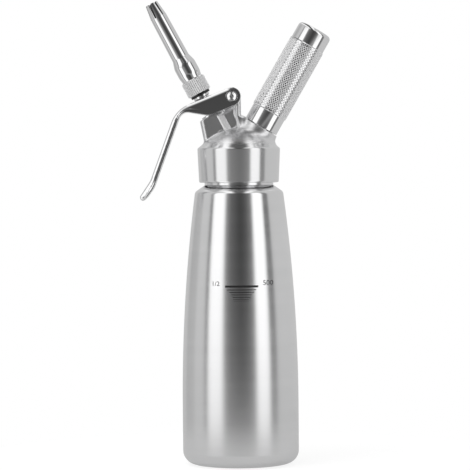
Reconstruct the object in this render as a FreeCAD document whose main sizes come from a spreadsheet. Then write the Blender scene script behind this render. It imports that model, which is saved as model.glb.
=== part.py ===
"""Whipped cream dispenser with a squeeze lever, a decorator nozzle and a charger holder.

Frame: the origin is the centre of the bottle's foot, on the surface that it stands on.
+Z is up and +X points to the side of the charger holder. The lever and the nozzle are on
the -X side, and the whole object is symmetric about the plane Y = 0. All sizes are in mm.

The nozzle's valve and the charger holder lie on two tilted axes that meet on the bottle's
axis. A height along a tilted axis is counted from that meeting point, outwards.
"""
import FreeCAD, Part
import math
import os
import re

import Sketcher

SIZES = [
    # bottle
    ("bottle_radius", 38.5, "widest outer radius"),
    ("bottle_wall", 1.0, "sheet thickness"),
    ("base_corner_round", 9.0, "outer radius of the foot's corner"),
    ("base_wall", 1.4, "thickness of the flat foot"),
    ("straight_height", 40.0, "height up to which the side is a plain cylinder"),
    ("shoulder_radius", 29.2, "outer radius at the shoulder"),
    ("shoulder_height", 180.5, "height of the shoulder"),
    ("shoulder_round", 3.0, "rounding of the shoulder"),
    ("neck_radius", 22.8, "outer radius of the neck"),
    ("neck_foot_height", 184.9, "height where the neck starts"),
    ("neck_foot_round", 1.2, "rounding where the shoulder meets the neck"),
    ("rim_height", 206.0, "height of the bottle's rim"),
    # threaded ring on the neck
    ("thread_ring_wall", 0.7, "wall of the ring below its thread"),
    ("thread_ring_height", 17.0, "height of the ring"),
    ("thread_ring_drop", 0.8, "gap from the rim down to the ring's top"),
    ("head_thread_depth", 0.9, "height of the head's thread ridge"),
    ("head_thread_width", 1.5, "width of the ridge at its root"),
    ("head_thread_lead", 6.0, "advance for one turn, two starts"),
    ("head_thread_turns", 1.9, "turns of each ridge"),
    # head: collar and dome
    ("thread_clearance", 0.3, "radial gap over every thread ridge"),
    ("collar_foot_height", 186.6, "height of the collar's lower face"),
    ("collar_foot_radius", 26.3, "outer radius of the collar at its foot"),
    ("collar_foot_chamfer", 1.4, "chamfer round the collar's foot"),
    ("collar_top_height", 209.2, "height of the collar's upper corner"),
    ("collar_top_radius", 27.4, "outer radius of the collar at its top"),
    ("collar_top_round", 1.2, "rounding of the collar's upper corner"),
    ("dome_foot_height", 212.4, "height where the dome starts"),
    ("dome_foot_radius", 23.6, "radius where the dome starts"),
    ("dome_height", 222.5, "height of the dome's crown"),
    ("cavity_radius", 20.6, "radius of the hollow under the dome"),
    ("cavity_height", 217.5, "height of the hollow's crown"),
    ("gasket_height", 2.2, "thickness of the head gasket"),
    ("gasket_side_gap", 0.3, "gap between the gasket and the collar's bore"),
    # tilted axes
    ("cut_margin", 4.0, "how far a cut passes the face that it opens"),
    ("axes_height", 198.0, "height where the valve and charger axes meet"),
    ("valve_tilt", 28.0, "tilt of the valve axis from vertical, to -X"),
    ("charger_tilt", 30.0, "tilt of the charger axis from vertical, to +X"),
    # valve boss
    ("valve_boss_top", 37.8, "height of the boss along the valve axis"),
    ("valve_boss_top_radius", 8.8, "half width of the boss at its top"),
    ("valve_boss_foot", 12.0, "height of the boss's foot, inside the dome"),
    ("valve_boss_foot_radius", 16.6, "half width of the boss at its foot"),
    ("head_slab_half", 7.0, "half thickness of the boss and lug, across"),
    ("boss_edge_round", 3.0, "rounding of the valve boss's upright edges"),
    ("valve_bore_radius", 5.6, "bore for the spring and the guide bush"),
    ("valve_bore_floor", 23.0, "height of the step that the spring stands on"),
    ("valve_throat_radius", 4.0, "bore below the spring"),
    ("valve_seat_height", 14.0, "height of the valve seat"),
    ("valve_seat_boss_radius", 7.4, "outer radius of the seat's boss, inside"),
    # charger boss
    ("charger_boss_top", 29.3, "height of the boss along the charger axis"),
    ("charger_boss_radius", 12.4, "outer radius of the boss"),
    ("charger_boss_round", 0.8, "rounding of the boss's upper edge"),
    ("charger_seat_height", 17.0, "height of the inner face for the carrier's nut"),
    ("charger_seat_boss_radius", 7.0, "outer radius of the inner boss"),
    ("charger_seat_boss_height", 8.0, "height of the inner boss, up into the dome"),
    ("spigot_radius", 9.0, "root radius of the threaded spigot"),
    ("spigot_height", 8.4, "height of the spigot above the boss"),
    ("spigot_root", 2.0, "length of the spigot inside the boss"),
    ("charger_bore_radius", 4.65, "bore for the carrier and the charger's neck"),
    ("charger_thread_depth", 0.6, "height of the holder's thread ridge"),
    ("charger_thread_width", 1.0, "width of the ridge at its root"),
    ("charger_thread_lead", 3.0, "advance for one turn, two starts"),
    ("charger_thread_turns", 2.0, "turns of each ridge"),
    ("charger_thread_rise", 1.2, "height of the ridges' start above the boss"),
    # lever
    ("pivot_x", -4.4, "place of the lever's pivot"),
    ("pivot_height", 243.5, "height of the lever's pivot"),
    ("strip_slope", 22.0, "slope of the lever's top strip"),
    ("lever_half_width", 9.0, "half width of the lever"),
    ("cheek_wall", 1.8, "wall of the cheeks and the top strip"),
    ("eye_radius", 6.1, "outer radius of the lever's round end"),
    ("cheek_run", 18.4, "length of the straight lower edge of the cheeks"),
    ("cheek_end_lag", 6.3, "distance of the cheeks' end from the bend"),
    ("cheek_end_rise", 1.6, "height of the cheeks' end above the pivot"),
    ("channel_end_wall", 2.5, "distance of the hollow's end from the cheeks' end"),
    ("bend_length", 37.3, "length from the pivot to the handle's bend"),
    ("bend_round", 21.0, "outer radius of the bend"),
    ("cheek_foot_round", 9.0, "rounding of the cheeks' lower edge"),
    ("handle_turn", 47.8, "angle between the strip and the handle"),
    ("handle_length", 50.0, "length of the handle from the bend to the flare"),
    ("handle_wall", 4.0, "thickness of the handle"),
    ("inner_bend_drop", 1.2, "distance of the inner bend down the handle"),
    ("inner_bend_round", 3.5, "inner radius of the bend"),
    ("flare_turn", 14.0, "angle by which the handle's end turns out"),
    ("flare_length", 13.0, "length of the flared end"),
    ("flare_nose_reach", 2.1, "how far the flare's nose stands out beyond its end"),
    ("flare_nose_drop", 3.5, "distance of the nose below the flare's outer side"),
    ("flare_inner_length", 10.1, "length of the flare on the side of the bottle"),
    ("flare_wall", 4.5, "thickness of the flare"),
    ("flare_inner_lag", 3.8, "how much later the inner side turns into the flare"),
    ("flare_round", 15.0, "radius of the turn into the flared end"),
    ("flare_inner_round", 18.0, "the same on the side of the bottle"),
    ("flare_end_round", 2.0, "rounding of the flare's outer end"),
    ("flare_nose_round", 1.7, "rounding of the flare's nose"),
    ("flare_heel_round", 4.0, "rounding where the flare's inner side meets its end"),
    ("lever_edge_round", 1.2, "rounding of the lever's outer edges"),
    ("lever_travel", 9.0, "angle of a full squeeze"),
    ("slot_centre", 17.6, "distance of the stem's slot from the pivot"),
    ("slot_half_length", 6.4, "half length of the slot"),
    ("slot_side_gap", 0.2, "gap between the slot and the sleeve's flange"),
    # lever lug
    ("lug_right_x", 1.7, "face of the lug on the charger's side"),
    ("lug_crown_gap", 0.3, "gap between the lug's crown and the lever's strip"),
    ("lug_stem_gap", 0.6, "gap between the lug and the press collar"),
    ("lug_flare_height", 231.4, "height where the lug flares to the charger boss"),
    ("lug_flare_drop", 2.4, "height over which the lug flares out"),
    ("lug_foot_reach", 3.0, "how far the flared foot stands out to the right"),
    ("lug_foot_sink", 6.0, "depth of the lug's foot below the dome's crown"),
    ("lug_shoulder_drop", 2.2, "height of the lug's right shoulder below the pivot"),
    ("lug_crown_run", 4.2, "distance from the pivot to the crown's right end"),
    ("lug_crown_rise", 3.1, "height of the crown's right end above the pivot"),
    ("lug_relief_angle", 1.0, "extra slope of the lug's top beyond a full squeeze"),
    ("pocket_floor_half", 4.0, "half thickness of the lug's web"),
    ("pocket_floor_left", 7.2, "distance from the valve axis to the pocket's floor"),
    ("pocket_rim_left", 2.8, "distance from the valve axis to the pocket's rim"),
    ("pocket_floor_right", -3.2, "right edge of the pocket's floor, its X"),
    ("pocket_rim_right", -1.1, "right edge of the pocket's rim, its X"),
    ("pocket_floor_top", 235.0, "height of the floor's upper right corner"),
    ("pocket_rim_top", 238.0, "height of the rim's upper right corner"),
    ("pocket_foot_drop", 2.0, "depth of the pocket's foot below the bore's floor"),
    ("pocket_foot_reach", 4.0, "how far the pocket's foot reaches to the right"),
    ("floor_foot_sink", 3.0, "depth of the floor's foot below the dome's crown"),
    ("floor_knee_reach", 1.6, "how far the floor's knee reaches to the right"),
    ("floor_knee_drop", 3.4, "depth of the floor's knee below the lug's flare"),
    ("floor_corner_drop", 3.8, "depth of the floor's upper left corner below the boss's top"),
    ("rim_foot_sink", 5.0, "depth of the rim's foot below the dome's crown"),
    ("rim_knee_reach", 1.3, "how far the rim's knee reaches to the right"),
    ("rim_knee_drop", 5.3, "depth of the rim's knee below the lug's flare"),
    ("rim_corner_drop", 1.0, "depth of the rim's lower right corner below the lug's flare"),
    ("rim_top_drop", 2.3, "depth of the rim's upper left corner below the boss's top"),
    # pivot screw
    ("pivot_radius", 2.2, "radius of the screw's shank"),
    ("running_gap", 0.06, "radial gap where a shaft turns or slides"),
    ("screw_head_radius", 3.1, "radius of the screw's head"),
    ("screw_head_height", 1.5, "height of the screw's head"),
    ("screw_slot_width", 0.9, "width of the screw's slot"),
    ("screw_slot_depth", 0.8, "depth of the screw's slot"),
    ("side_gap", 0.1, "gap between a screw head and the cheek"),
    ("screw_edge_round", 0.45, "rounding of the screw head and the cap nut"),
    ("pivot_nut_height", 2.4, "height of the cap nut"),
    ("screw_in_nut", 1.44, "length of the screw inside its nut"),
    # valve stem and what is on it
    ("stem_radius", 3.4, "radius of the stem's rod"),
    ("stem_passage_radius", 2.1, "radius of the passage for the cream"),
    ("stem_foot_radius", 5.7, "radius of the stem's foot"),
    ("stem_foot_height", 2.4, "thickness of the stem's foot"),
    ("seat_gasket_height", 1.9, "thickness of the gasket on the foot"),
    ("passage_floor", 17.5, "height of the passage's closed lower end"),
    ("port_radius", 1.5, "radius of the cross holes into the passage"),
    ("port_rise", 1.95, "height of the cross holes above the passage's floor"),
    ("retainer_height", 1.4, "thickness of the spring retainer"),
    ("retainer_side_gap", 0.3, "gap between the retainer and its bore"),
    ("retainer_gap", 0.3, "gap between the retainer and the guide bush"),
    ("guide_depth", 5.6, "depth of the guide bush in the boss"),
    ("guide_rim_height", 1.2, "height of the guide bush's rim"),
    ("guide_rim_radius", 6.8, "radius of the guide bush's rim"),
    ("o_ring_section", 0.7, "section radius of the O-ring"),
    ("o_ring_height", 35.0, "height of the O-ring along the valve axis"),
    ("press_collar_radius", 6.9, "radius of the collar that the lever presses"),
    ("press_collar_height", 3.0, "height of the press collar"),
    ("press_gap", 0.15, "gap between the press collar and the lever"),
    ("sleeve_neck_radius", 4.6, "radius of the sleeve between its collar and its flange"),
    ("sleeve_flange_radius", 5.5, "radius of the flange that carries the nozzle's seal"),
    ("sleeve_flange_height", 1.6, "thickness of the flange"),
    ("tip_seal_height", 1.5, "thickness of the black seal under the nut"),
    ("tip_seal_radius", 6.7, "radius of the black seal"),
    ("tip_thread_root", 2.9, "root radius of the stem's upper thread"),
    ("tip_thread_depth", 0.5, "height of the tip's thread ridge"),
    ("tip_thread_width", 0.9, "width of the ridge at its root"),
    ("tip_thread_lead", 1.5, "advance for one turn"),
    ("tip_thread_turns", 2.6, "turns of the ridge"),
    ("tip_thread_rise", 0.6, "height of the ridge's start above the nut's lower face"),
    ("stem_thread_height", 6.0, "height of the stem above the nut's lower face"),
    # valve spring
    ("spring_wire", 0.45, "radius of the spring's wire"),
    ("spring_mean_radius", 4.5, "mean radius of the coils"),
    ("spring_turns", 4.0, "turns of the spring"),
    # nozzle
    ("nozzle_foot", 54.2, "height of the nut's lower face along the valve axis"),
    ("tip_nut_radius", 8.1, "outer radius of the ribbed nut"),
    ("tip_nut_height", 10.6, "height of the ribbed nut"),
    ("tip_nut_chamfer", 0.5, "chamfer of the nut's ends"),
    ("tip_nut_step", 6.6, "depth of the nut's thread"),
    ("tip_socket_radius", 6.6, "radius of the socket that holds the tip"),
    ("tip_neck_radius", 7.1, "radius of the tip at the nut's top"),
    ("bulb_radius", 7.5, "widest radius of the tip's bulb"),
    ("bulb_foot_height", 3.0, "length from the nut to the widest place"),
    ("bulb_body_height", 11.4, "length of the bulb's widest stretch"),
    ("bulb_top_height", 15.8, "length from the nut to the end of the bulb"),
    ("bulb_round", 3.0, "rounding of the bulb's upper half"),
    ("tube_foot_radius", 5.9, "radius of the tube above the bulb"),
    ("tube_top_radius", 5.5, "radius of the tube below the slitted end"),
    ("slit_length", 10.2, "length of the slitted end"),
    ("tip_end_radius", 4.2, "outer radius at the very end"),
    ("nozzle_length", 67.4, "length from the nut's lower face to the end"),
    ("tip_wall", 0.8, "wall of the decorator tip"),
    ("slit_width", 1.1, "width of each slit"),
    ("slit_count", 6, "number of slits"),
    ("first_slit_angle", 33.0, "turn of the first slit from the front"),
    # charger holder
    ("holder_end_wall", 5.2, "wall of the holder's closed end"),
    ("holder_band_radius", 11.65, "radius of the plain bands"),
    ("holder_knurl_radius", 12.2, "radius of the knurled grip"),
    ("holder_low_band", 11.0, "length of the lower plain band"),
    ("holder_top_band", 11.6, "length of the upper plain band"),
    ("holder_end_round", 2.6, "rounding of the closed end"),
    ("knurl_lead_in", 0.5, "length of the slope from a band up to the knurl"),
    ("seam_gap", 0.3, "gap at the seam between the holder and the head"),
    ("spigot_end_gap", 0.8, "gap above the spigot's end, inside the holder"),
    ("holder_bore_gap", 0.3, "gap between the charger and the holder's bore"),
    ("cushion_height", 2.0, "thickness of the rubber cushion"),
    # gas charger
    ("charger_radius", 9.0, "radius of the charger's body"),
    ("charger_wall", 1.6, "wall of the charger"),
    ("charger_length", 65.0, "length of the charger"),
    ("charger_neck_radius", 4.35, "radius of the charger's neck"),
    ("charger_neck_height", 10.5, "length of the charger's neck"),
    ("charger_shoulder_height", 7.0, "length of the charger's shoulder"),
    ("charger_end_round", 8.0, "rounding of the charger's closed end"),
    ("pierced_radius", 1.1, "radius of the hole that the pin pierces"),
    # piercing pin, its carrier and the check valve
    ("carrier_height", 10.6, "length of the carrier's body"),
    ("carrier_stem_radius", 2.5, "radius of the carrier's threaded stem"),
    ("carrier_stem_length", 5.8, "length of the carrier's threaded stem"),
    ("gas_passage_radius", 0.6, "radius of the gas passage"),
    ("pin_radius", 0.8, "radius of the piercing pin"),
    ("pin_bore_radius", 0.35, "radius of the bore along the pin"),
    ("pin_socket_depth", 4.0, "depth of the pin in its carrier"),
    ("pin_rise", 2.6, "length of the pin above the charger seal"),
    ("pin_point", 1.4, "length of the pin's point"),
    ("pin_tip_wall", 0.05, "wall of the pin at its point"),
    ("charger_seal_height", 1.6, "thickness of the charger seal"),
    ("check_valve_height", 2.0, "thickness of the check valve"),
    ("check_valve_radius", 3.6, "outer radius of the check valve"),
    ("carrier_nut_height", 3.2, "height of the carrier's nut"),
    ("carrier_nut_flats", 4.6, "half distance across the nut's flats"),
]

doc = FreeCAD.newDocument("cream_dispenser")
sheet = doc.addObject("Spreadsheet::Sheet", "Sizes")
NAMES = {name for name, _, _ in SIZES}
WORD = re.compile(r"[a-z_][a-z_0-9]*")


def fill_sheet():
    """Write every size, its meaning and its alias into the sheet."""
    for row, (name, value, meaning) in enumerate(SIZES, start=1):
        sheet.set(f"A{row}", name)
        sheet.set(f"B{row}", str(value))
        sheet.set(f"C{row}", meaning)
        sheet.setAlias(f"B{row}", name)
    doc.recompute()


def add_size(name, formula, meaning):
    """Add a size that follows from others, as a formula in the sheet."""
    row = len(NAMES) + 1
    sheet.set(f"A{row}", name)
    sheet.set(f"B{row}", "=" + formula)
    sheet.set(f"C{row}", meaning)
    sheet.setAlias(f"B{row}", name)
    NAMES.add(name)


def bound(formula):
    """Return the formula with each size written as a reference to the sheet."""
    return WORD.sub(lambda m: "Sizes." + m.group() if m.group() in NAMES else m.group(), str(formula))


def value_of(formula):
    """Return the number that a formula of sizes gives."""
    return float(sheet.evalExpression(bound(formula)))


def add_derived_sizes():
    """Add the sizes that follow from the driving ones."""
    add_size("collar_bore_radius", "neck_radius + thread_ring_wall + head_thread_depth + thread_clearance",
             "bore of the collar")
    add_size("gasket_seat_height", "rim_height + gasket_height", "height of the gasket's seat")
    add_size("squeezed_slope", "strip_slope + lever_travel", "slope of the strip at a full squeeze")
    add_size("pivot_along", "(pivot_height - axes_height) * cos(valve_tilt) - pivot_x * sin(valve_tilt)",
             "the pivot's height along the valve axis")
    add_size("pivot_aside", "pivot_x * cos(valve_tilt) + (pivot_height - axes_height) * sin(valve_tilt)",
             "the pivot's distance from the valve axis")
    add_size("cheek_end", "bend_length - cheek_end_lag", "length at which the cheeks have run out")
    add_size("channel_length", "cheek_end - channel_end_wall", "length of the hollow between the cheeks")
    add_size("channel_half", "lever_half_width - cheek_wall", "half width between the cheeks")
    add_size("slot_half_width", "sleeve_flange_radius + slot_side_gap", "half width of the stem's slot")
    add_size("head_face", "lever_half_width + side_gap", "distance of the screw's head from the middle")
    add_size("screw_reach", "head_face + screw_in_nut", "distance of the screw's end")
    add_size("strip_under", "eye_radius - cheek_wall", "distance from the pivot to the strip's underside")
    add_size("press_top", "pivot_along + strip_under / cos(valve_tilt - strip_slope)"
             " + (pivot_aside - press_collar_radius) * tan(valve_tilt - strip_slope) - press_gap",
             "height of the press collar's top along the valve axis")
    add_size("flange_top", "nozzle_foot - tip_seal_height", "height of the top of the sleeve's flange")
    add_size("foot_top", "valve_seat_height - seat_gasket_height", "height of the stem foot's top")
    add_size("stem_top", "nozzle_foot + stem_thread_height", "height of the stem's upper end")
    add_size("guide_foot", "valve_boss_top - guide_depth", "height of the guide bush's lower end")
    add_size("retainer_top", "guide_foot - retainer_gap", "height of the retainer's top")
    add_size("tip_foot", "nozzle_foot + tip_nut_step", "height of the tip's lower end")
    add_size("nut_top", "nozzle_foot + tip_nut_height", "height of the ribbed nut's top")
    add_size("nozzle_end", "nozzle_foot + nozzle_length", "height of the nozzle's end")
    add_size("slit_foot", "nozzle_end - slit_length", "height where the slits start")
    add_size("tip_bore_radius", "tip_thread_root + tip_thread_depth + thread_clearance",
             "bore of the ribbed nut's thread")
    add_size("carrier_foot", "charger_seat_height + check_valve_height", "height of the carrier body's foot")
    add_size("carrier_top", "carrier_foot + carrier_height", "height of the carrier's top")
    add_size("charger_foot", "carrier_top + charger_seal_height", "height of the charger's neck end")
    add_size("charger_top", "charger_foot + charger_length", "height of the charger's closed end")
    add_size("cushion_top", "charger_top + cushion_height", "height of the cushion's top")
    add_size("holder_foot", "charger_boss_top + seam_gap", "height of the holder's open end")
    add_size("holder_top", "cushion_top + holder_end_wall", "height of the holder's closed end")
    add_size("holder_bore_radius", "charger_radius + holder_bore_gap", "bore of the holder")
    add_size("holder_thread_bore", "spigot_radius + charger_thread_depth + thread_clearance",
             "bore of the holder's threaded end")
    add_size("spigot_top", "charger_boss_top + spigot_height", "height of the spigot's end")
    add_size("handle_x", "-cos(handle_turn)", "the handle's direction along the strip")
    add_size("handle_z", "-sin(handle_turn)", "the handle's direction across the strip")
    add_size("flare_x", "-cos(handle_turn - flare_turn)", "the flare's direction along the strip")
    add_size("flare_z", "-sin(handle_turn - flare_turn)", "the flare's direction across the strip")
    add_size("flare_start_x", "-bend_length + handle_length * handle_x", "place of the flare's start")
    add_size("flare_start_z", "eye_radius + handle_length * handle_z", "the same, across the strip")
    doc.recompute()


ON_BOTTLE = ""
ON_VALVE = "placement(vector(0; 0; axes_height); rotation(vector(0; 1; 0); -valve_tilt))"
ON_CHARGER = "placement(vector(0; 0; axes_height); rotation(vector(0; 1; 0); charger_tilt))"
ON_LEVER = "placement(vector(pivot_x; 0; pivot_height); rotation(vector(0; 1; 0); -strip_slope))"
ON_PIVOT = "placement(vector(pivot_x; 0; pivot_height); rotation(vector(1; 0; 0); 90))"
ON_TIP = ("placement(vector(0; 0; axes_height);"
          " rotation(vector(0; 1; 0); -valve_tilt) * rotation(vector(0; 0; 1); first_slit_angle))")


def place(thing, frame):
    """Bind an object's Placement to one of the frames above."""
    if frame:
        thing.setExpression("Placement", bound(frame))
    return thing


def new_body(label, frame=ON_BOTTLE):
    """Return an empty body with this label, placed in a frame."""
    body = doc.addObject("PartDesign::Body", label)
    body.Label = label
    return place(body, frame)


def tell(thing, **formulas):
    """Bind properties of an object to formulas of sizes."""
    for name, formula in formulas.items():
        thing.setExpression(name, bound(formula))
    return thing


def origin_feature(body, role):
    """Return the body's own origin plane or axis with this role."""
    return next(item for item in body.Origin.OriginFeatures if item.Role == role)


def hold_point(sketch, geometry, end, across, up):
    """Fix one end of a piece of geometry to a place given by two formulas."""
    for kind, formula, axis in (("DistanceX", across, -2), ("DistanceY", up, -1)):
        if formula == 0:
            sketch.addConstraint(Sketcher.Constraint("PointOnObject", geometry, end, axis))
        else:
            number = value_of(formula)
            index = sketch.addConstraint(Sketcher.Constraint(kind, -1, 1, geometry, end, number))
            sketch.setExpression(f"Constraints[{index}]", bound(formula))


def arc_between(start, end, centre, leftwards):
    """Return an arc about a centre, and the ends of it where the outline enters and leaves."""
    first = math.atan2(start.y - centre.y, start.x - centre.x)
    last = math.atan2(end.y - centre.y, end.x - centre.x)
    circle = Part.Circle(centre, FreeCAD.Vector(0, 0, 1), start.distanceToPoint(centre))
    if leftwards:
        return Part.ArcOfCircle(circle, first, first + (last - first) % (2 * math.pi)), 1, 2
    return Part.ArcOfCircle(circle, last, last + (first - last) % (2 * math.pi)), 2, 1


def outline_sketch(body, corners, plane="XZ_Plane", offset=0):
    """Draw a closed outline, one side from each corner to the next.

    A corner is (across, up) or (across, up, kind), where kind says how the side that ends
    there runs: "line", "tangent" for an arc that leaves the side before it smoothly, or
    "domed" for an arc with its centre on the vertical axis.
    """
    sketch = body.newObject("Sketcher::SketchObject", body.Label + "_outline")
    sketch.AttachmentSupport = [(origin_feature(body, plane), "")]
    sketch.MapMode = "FlatFace"
    if offset:
        sketch.setExpression("AttachmentOffset.Base.z", bound(offset))
    points = [FreeCAD.Vector(value_of(c[0]), value_of(c[1]), 0) for c in corners]
    sides = []
    for index, corner in enumerate(corners):
        start, end = points[index - 1], points[index]
        kind = corner[2] if len(corner) > 2 else "line"
        if kind == "line":
            sides.append((sketch.addGeometry(Part.LineSegment(start, end)), 1, 2, kind))
            continue
        if kind == "tangent":
            along = (start - points[index - 2]).normalize()
            normal = FreeCAD.Vector(-along.y, along.x, 0)
            chord = end - start
            centre = start + normal * (chord.dot(chord) / (2 * chord.dot(normal)))
            leftwards = chord.dot(normal) > 0
        else:
            middle = (start + end) / 2
            chord = end - start
            centre = FreeCAD.Vector(0, middle.y + middle.x * chord.x / chord.y, 0)
            leftwards = True
        arc, enters, leaves = arc_between(start, end, centre, leftwards)
        sides.append((sketch.addGeometry(arc), enters, leaves, kind))
    for index, (geometry, enters, _, kind) in enumerate(sides):
        before, _, leaves, _ = sides[index - 1]
        joint = "Tangent" if kind == "tangent" else "Coincident"
        sketch.addConstraint(Sketcher.Constraint(joint, before, leaves, geometry, enters))
        if kind == "domed":
            sketch.addConstraint(Sketcher.Constraint("PointOnObject", geometry, 3, -2))
    for corner, (geometry, _, leaves, _) in zip(corners, sides):
        hold_point(sketch, geometry, leaves, corner[0], corner[1])
    doc.recompute()
    return sketch


def circle_sketch(body, across, up, radius, plane="XZ_Plane"):
    """Draw one circle on one of the body's own planes."""
    sketch = body.newObject("Sketcher::SketchObject", body.Label + "_circle")
    sketch.AttachmentSupport = [(origin_feature(body, plane), "")]
    sketch.MapMode = "FlatFace"
    centre = FreeCAD.Vector(value_of(across), value_of(up), 0)
    circle = Part.Circle(centre, FreeCAD.Vector(0, 0, 1), value_of(radius))
    geometry = sketch.addGeometry(circle)
    hold_point(sketch, geometry, 3, across, up)
    index = sketch.addConstraint(Sketcher.Constraint("Radius", geometry, value_of(radius)))
    sketch.setExpression(f"Constraints[{index}]", bound(radius))
    doc.recompute()
    return sketch


def turn_sketch(body, sketch):
    """Turn a sketch about the body's own Z axis."""
    feature = body.newObject("PartDesign::Revolution", body.Label + "_turned")
    feature.Profile = sketch
    feature.ReferenceAxis = (sketch, ["V_Axis"])
    feature.Angle = 360
    doc.recompute()


def round_rings(body, rings, kind="Fillet"):
    """Round or chamfer ring edges, each given by its radius, height and size."""
    for number, (radius, height, size) in enumerate(rings, start=1):
        base = body.Tip
        wanted = (value_of(radius), value_of(height))
        edges = [
            f"Edge{index}"
            for index, edge in enumerate(base.Shape.Edges, start=1)
            if not edge.Degenerated and isinstance(edge.Curve, Part.Circle)
            and abs(edge.Curve.Radius - wanted[0]) < 1e-4
            and abs(edge.Curve.Center.z - wanted[1]) < 1e-4
            and math.hypot(edge.Curve.Center.x, edge.Curve.Center.y) < 1e-4
        ]
        feature = body.newObject("PartDesign::" + kind, f"{body.Label}_{kind.lower()}_{number}")
        feature.Base = (base, edges)
        tell(feature, **{"Radius" if kind == "Fillet" else "Size": size})
        doc.recompute()


def turned(label, frame, corners, rings=()):
    """Return a turned body with some of its ring edges rounded."""
    body = new_body(label, frame)
    turn_sketch(body, outline_sketch(body, corners))
    round_rings(body, rings)
    return body


def add_thread(body, root, foot, depth, width, lead, turns, starts):
    """Wind a thread ridge on a turned body, with one or two starts."""
    for start in range(starts):
        side = 1 if start == 0 else -1
        sketch = outline_sketch(body, [
            (f"{side} * ({root} - 0.15)", foot),
            (f"{side} * ({root} + {depth})", f"{foot} + 0.3 * {width}"),
            (f"{side} * ({root} + {depth})", f"{foot} + 0.7 * {width}"),
            (f"{side} * ({root} - 0.15)", f"{foot} + {width}"),
        ])
        helix = body.newObject("PartDesign::AdditiveHelix", f"{body.Label}_thread_{start + 1}")
        helix.Profile = sketch
        helix.ReferenceAxis = (sketch, ["V_Axis"])
        helix.Mode = "pitch-turns-angle"
        tell(helix, Pitch=lead, Turns=turns)
        doc.recompute()


def add_pad(body, corners, half):
    """Add a slab that reaches as far to each side of the outline's plane."""
    feature = body.newObject("PartDesign::Pad", body.Label + "_pad")
    feature.Profile = outline_sketch(body, corners)
    feature.SideType = "Symmetric"
    tell(feature, Length=f"2 * ({half})")
    doc.recompute()
    return feature


def add_pocket(body, name, corners, half, plane="XZ_Plane"):
    """Cut an outline out of a body, as far to each side of the outline's plane."""
    feature = body.newObject("PartDesign::Pocket", f"{body.Label}_{name}")
    feature.Profile = outline_sketch(body, corners, plane)
    feature.SideType = "Symmetric"
    tell(feature, Length=f"2 * ({half})")
    doc.recompute()


def bore_across(body, name, across, up, radius):
    """Bore a round hole right through a body, along its own Y."""
    feature = body.newObject("PartDesign::Pocket", f"{body.Label}_{name}")
    feature.Profile = circle_sketch(body, across, up, radius)
    feature.Type = "ThroughAll"
    feature.Midplane = True
    doc.recompute()


def round_corners(body, corners):
    """Round corners of a slab, each given by its place in the outline and its radius."""
    for number, (across, up, size) in enumerate(corners, start=1):
        base = body.Tip
        wanted = (value_of(across), value_of(up))
        edges = []
        for index, edge in enumerate(base.Shape.Edges, start=1):
            start, end = edge.Vertexes[0].Point, edge.Vertexes[-1].Point
            straight = math.hypot(start.x - end.x, start.z - end.z) < 1e-5
            near = math.hypot(start.x - wanted[0], start.z - wanted[1]) < 1e-4
            if straight and near and abs(start.y - end.y) > 1e-3:
                edges.append(f"Edge{index}")
        feature = body.newObject("PartDesign::Fillet", f"{body.Label}_corner_{number}")
        feature.Base = (base, edges)
        tell(feature, Radius=size)
        doc.recompute()


def round_sides(body, half, size):
    """Round the edges round both flat sides of a slab."""
    base = body.Tip
    reach = value_of(half)
    edges = [
        f"Edge{index}"
        for index, edge in enumerate(base.Shape.Edges, start=1)
        if all(abs(abs(vertex.Point.y) - reach) < 1e-4 for vertex in edge.Vertexes)
        and abs(edge.BoundBox.YMax - edge.BoundBox.YMin) < 1e-3
    ]
    feature = body.newObject("PartDesign::Fillet", body.Label + "_sides")
    feature.Base = (base, edges)
    tell(feature, Radius=size)
    doc.recompute()


def fused(label, pieces):
    """Return the union of several objects."""
    result = doc.addObject("Part::MultiFuse", label)
    result.Label = label
    result.Shapes = pieces
    doc.recompute()
    return result


def trimmed(label, base, tools):
    """Return an object with the tools cut away from it."""
    result = doc.addObject("Part::Cut", label)
    result.Label = label
    result.Base = base
    result.Tool = tools[0] if len(tools) == 1 else fused(label + "_tools", tools)
    doc.recompute()
    return result


def in_valve(across, height):
    """Return a place on the plane of symmetry as seen along the valve axis."""
    return (
        f"({across}) * cos(valve_tilt) + (({height}) - axes_height) * sin(valve_tilt)",
        f"(({height}) - axes_height) * cos(valve_tilt) - ({across}) * sin(valve_tilt)",
    )


def from_valve(aside, along):
    """Return the place on the plane of symmetry of a point given along the valve axis."""
    return (
        f"({aside}) * cos(valve_tilt) - ({along}) * sin(valve_tilt)",
        f"axes_height + ({aside}) * sin(valve_tilt) + ({along}) * cos(valve_tilt)",
    )


def ring(inner, outer, foot, top):
    """Return the corners of a plain ring's section."""
    return [(inner, foot), (outer, foot), (outer, top), (inner, top)]


def disc(radius, foot, top):
    """Return the corners of a plain disc's section."""
    return [(0, foot), (radius, foot), (radius, top), (0, top)]


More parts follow.
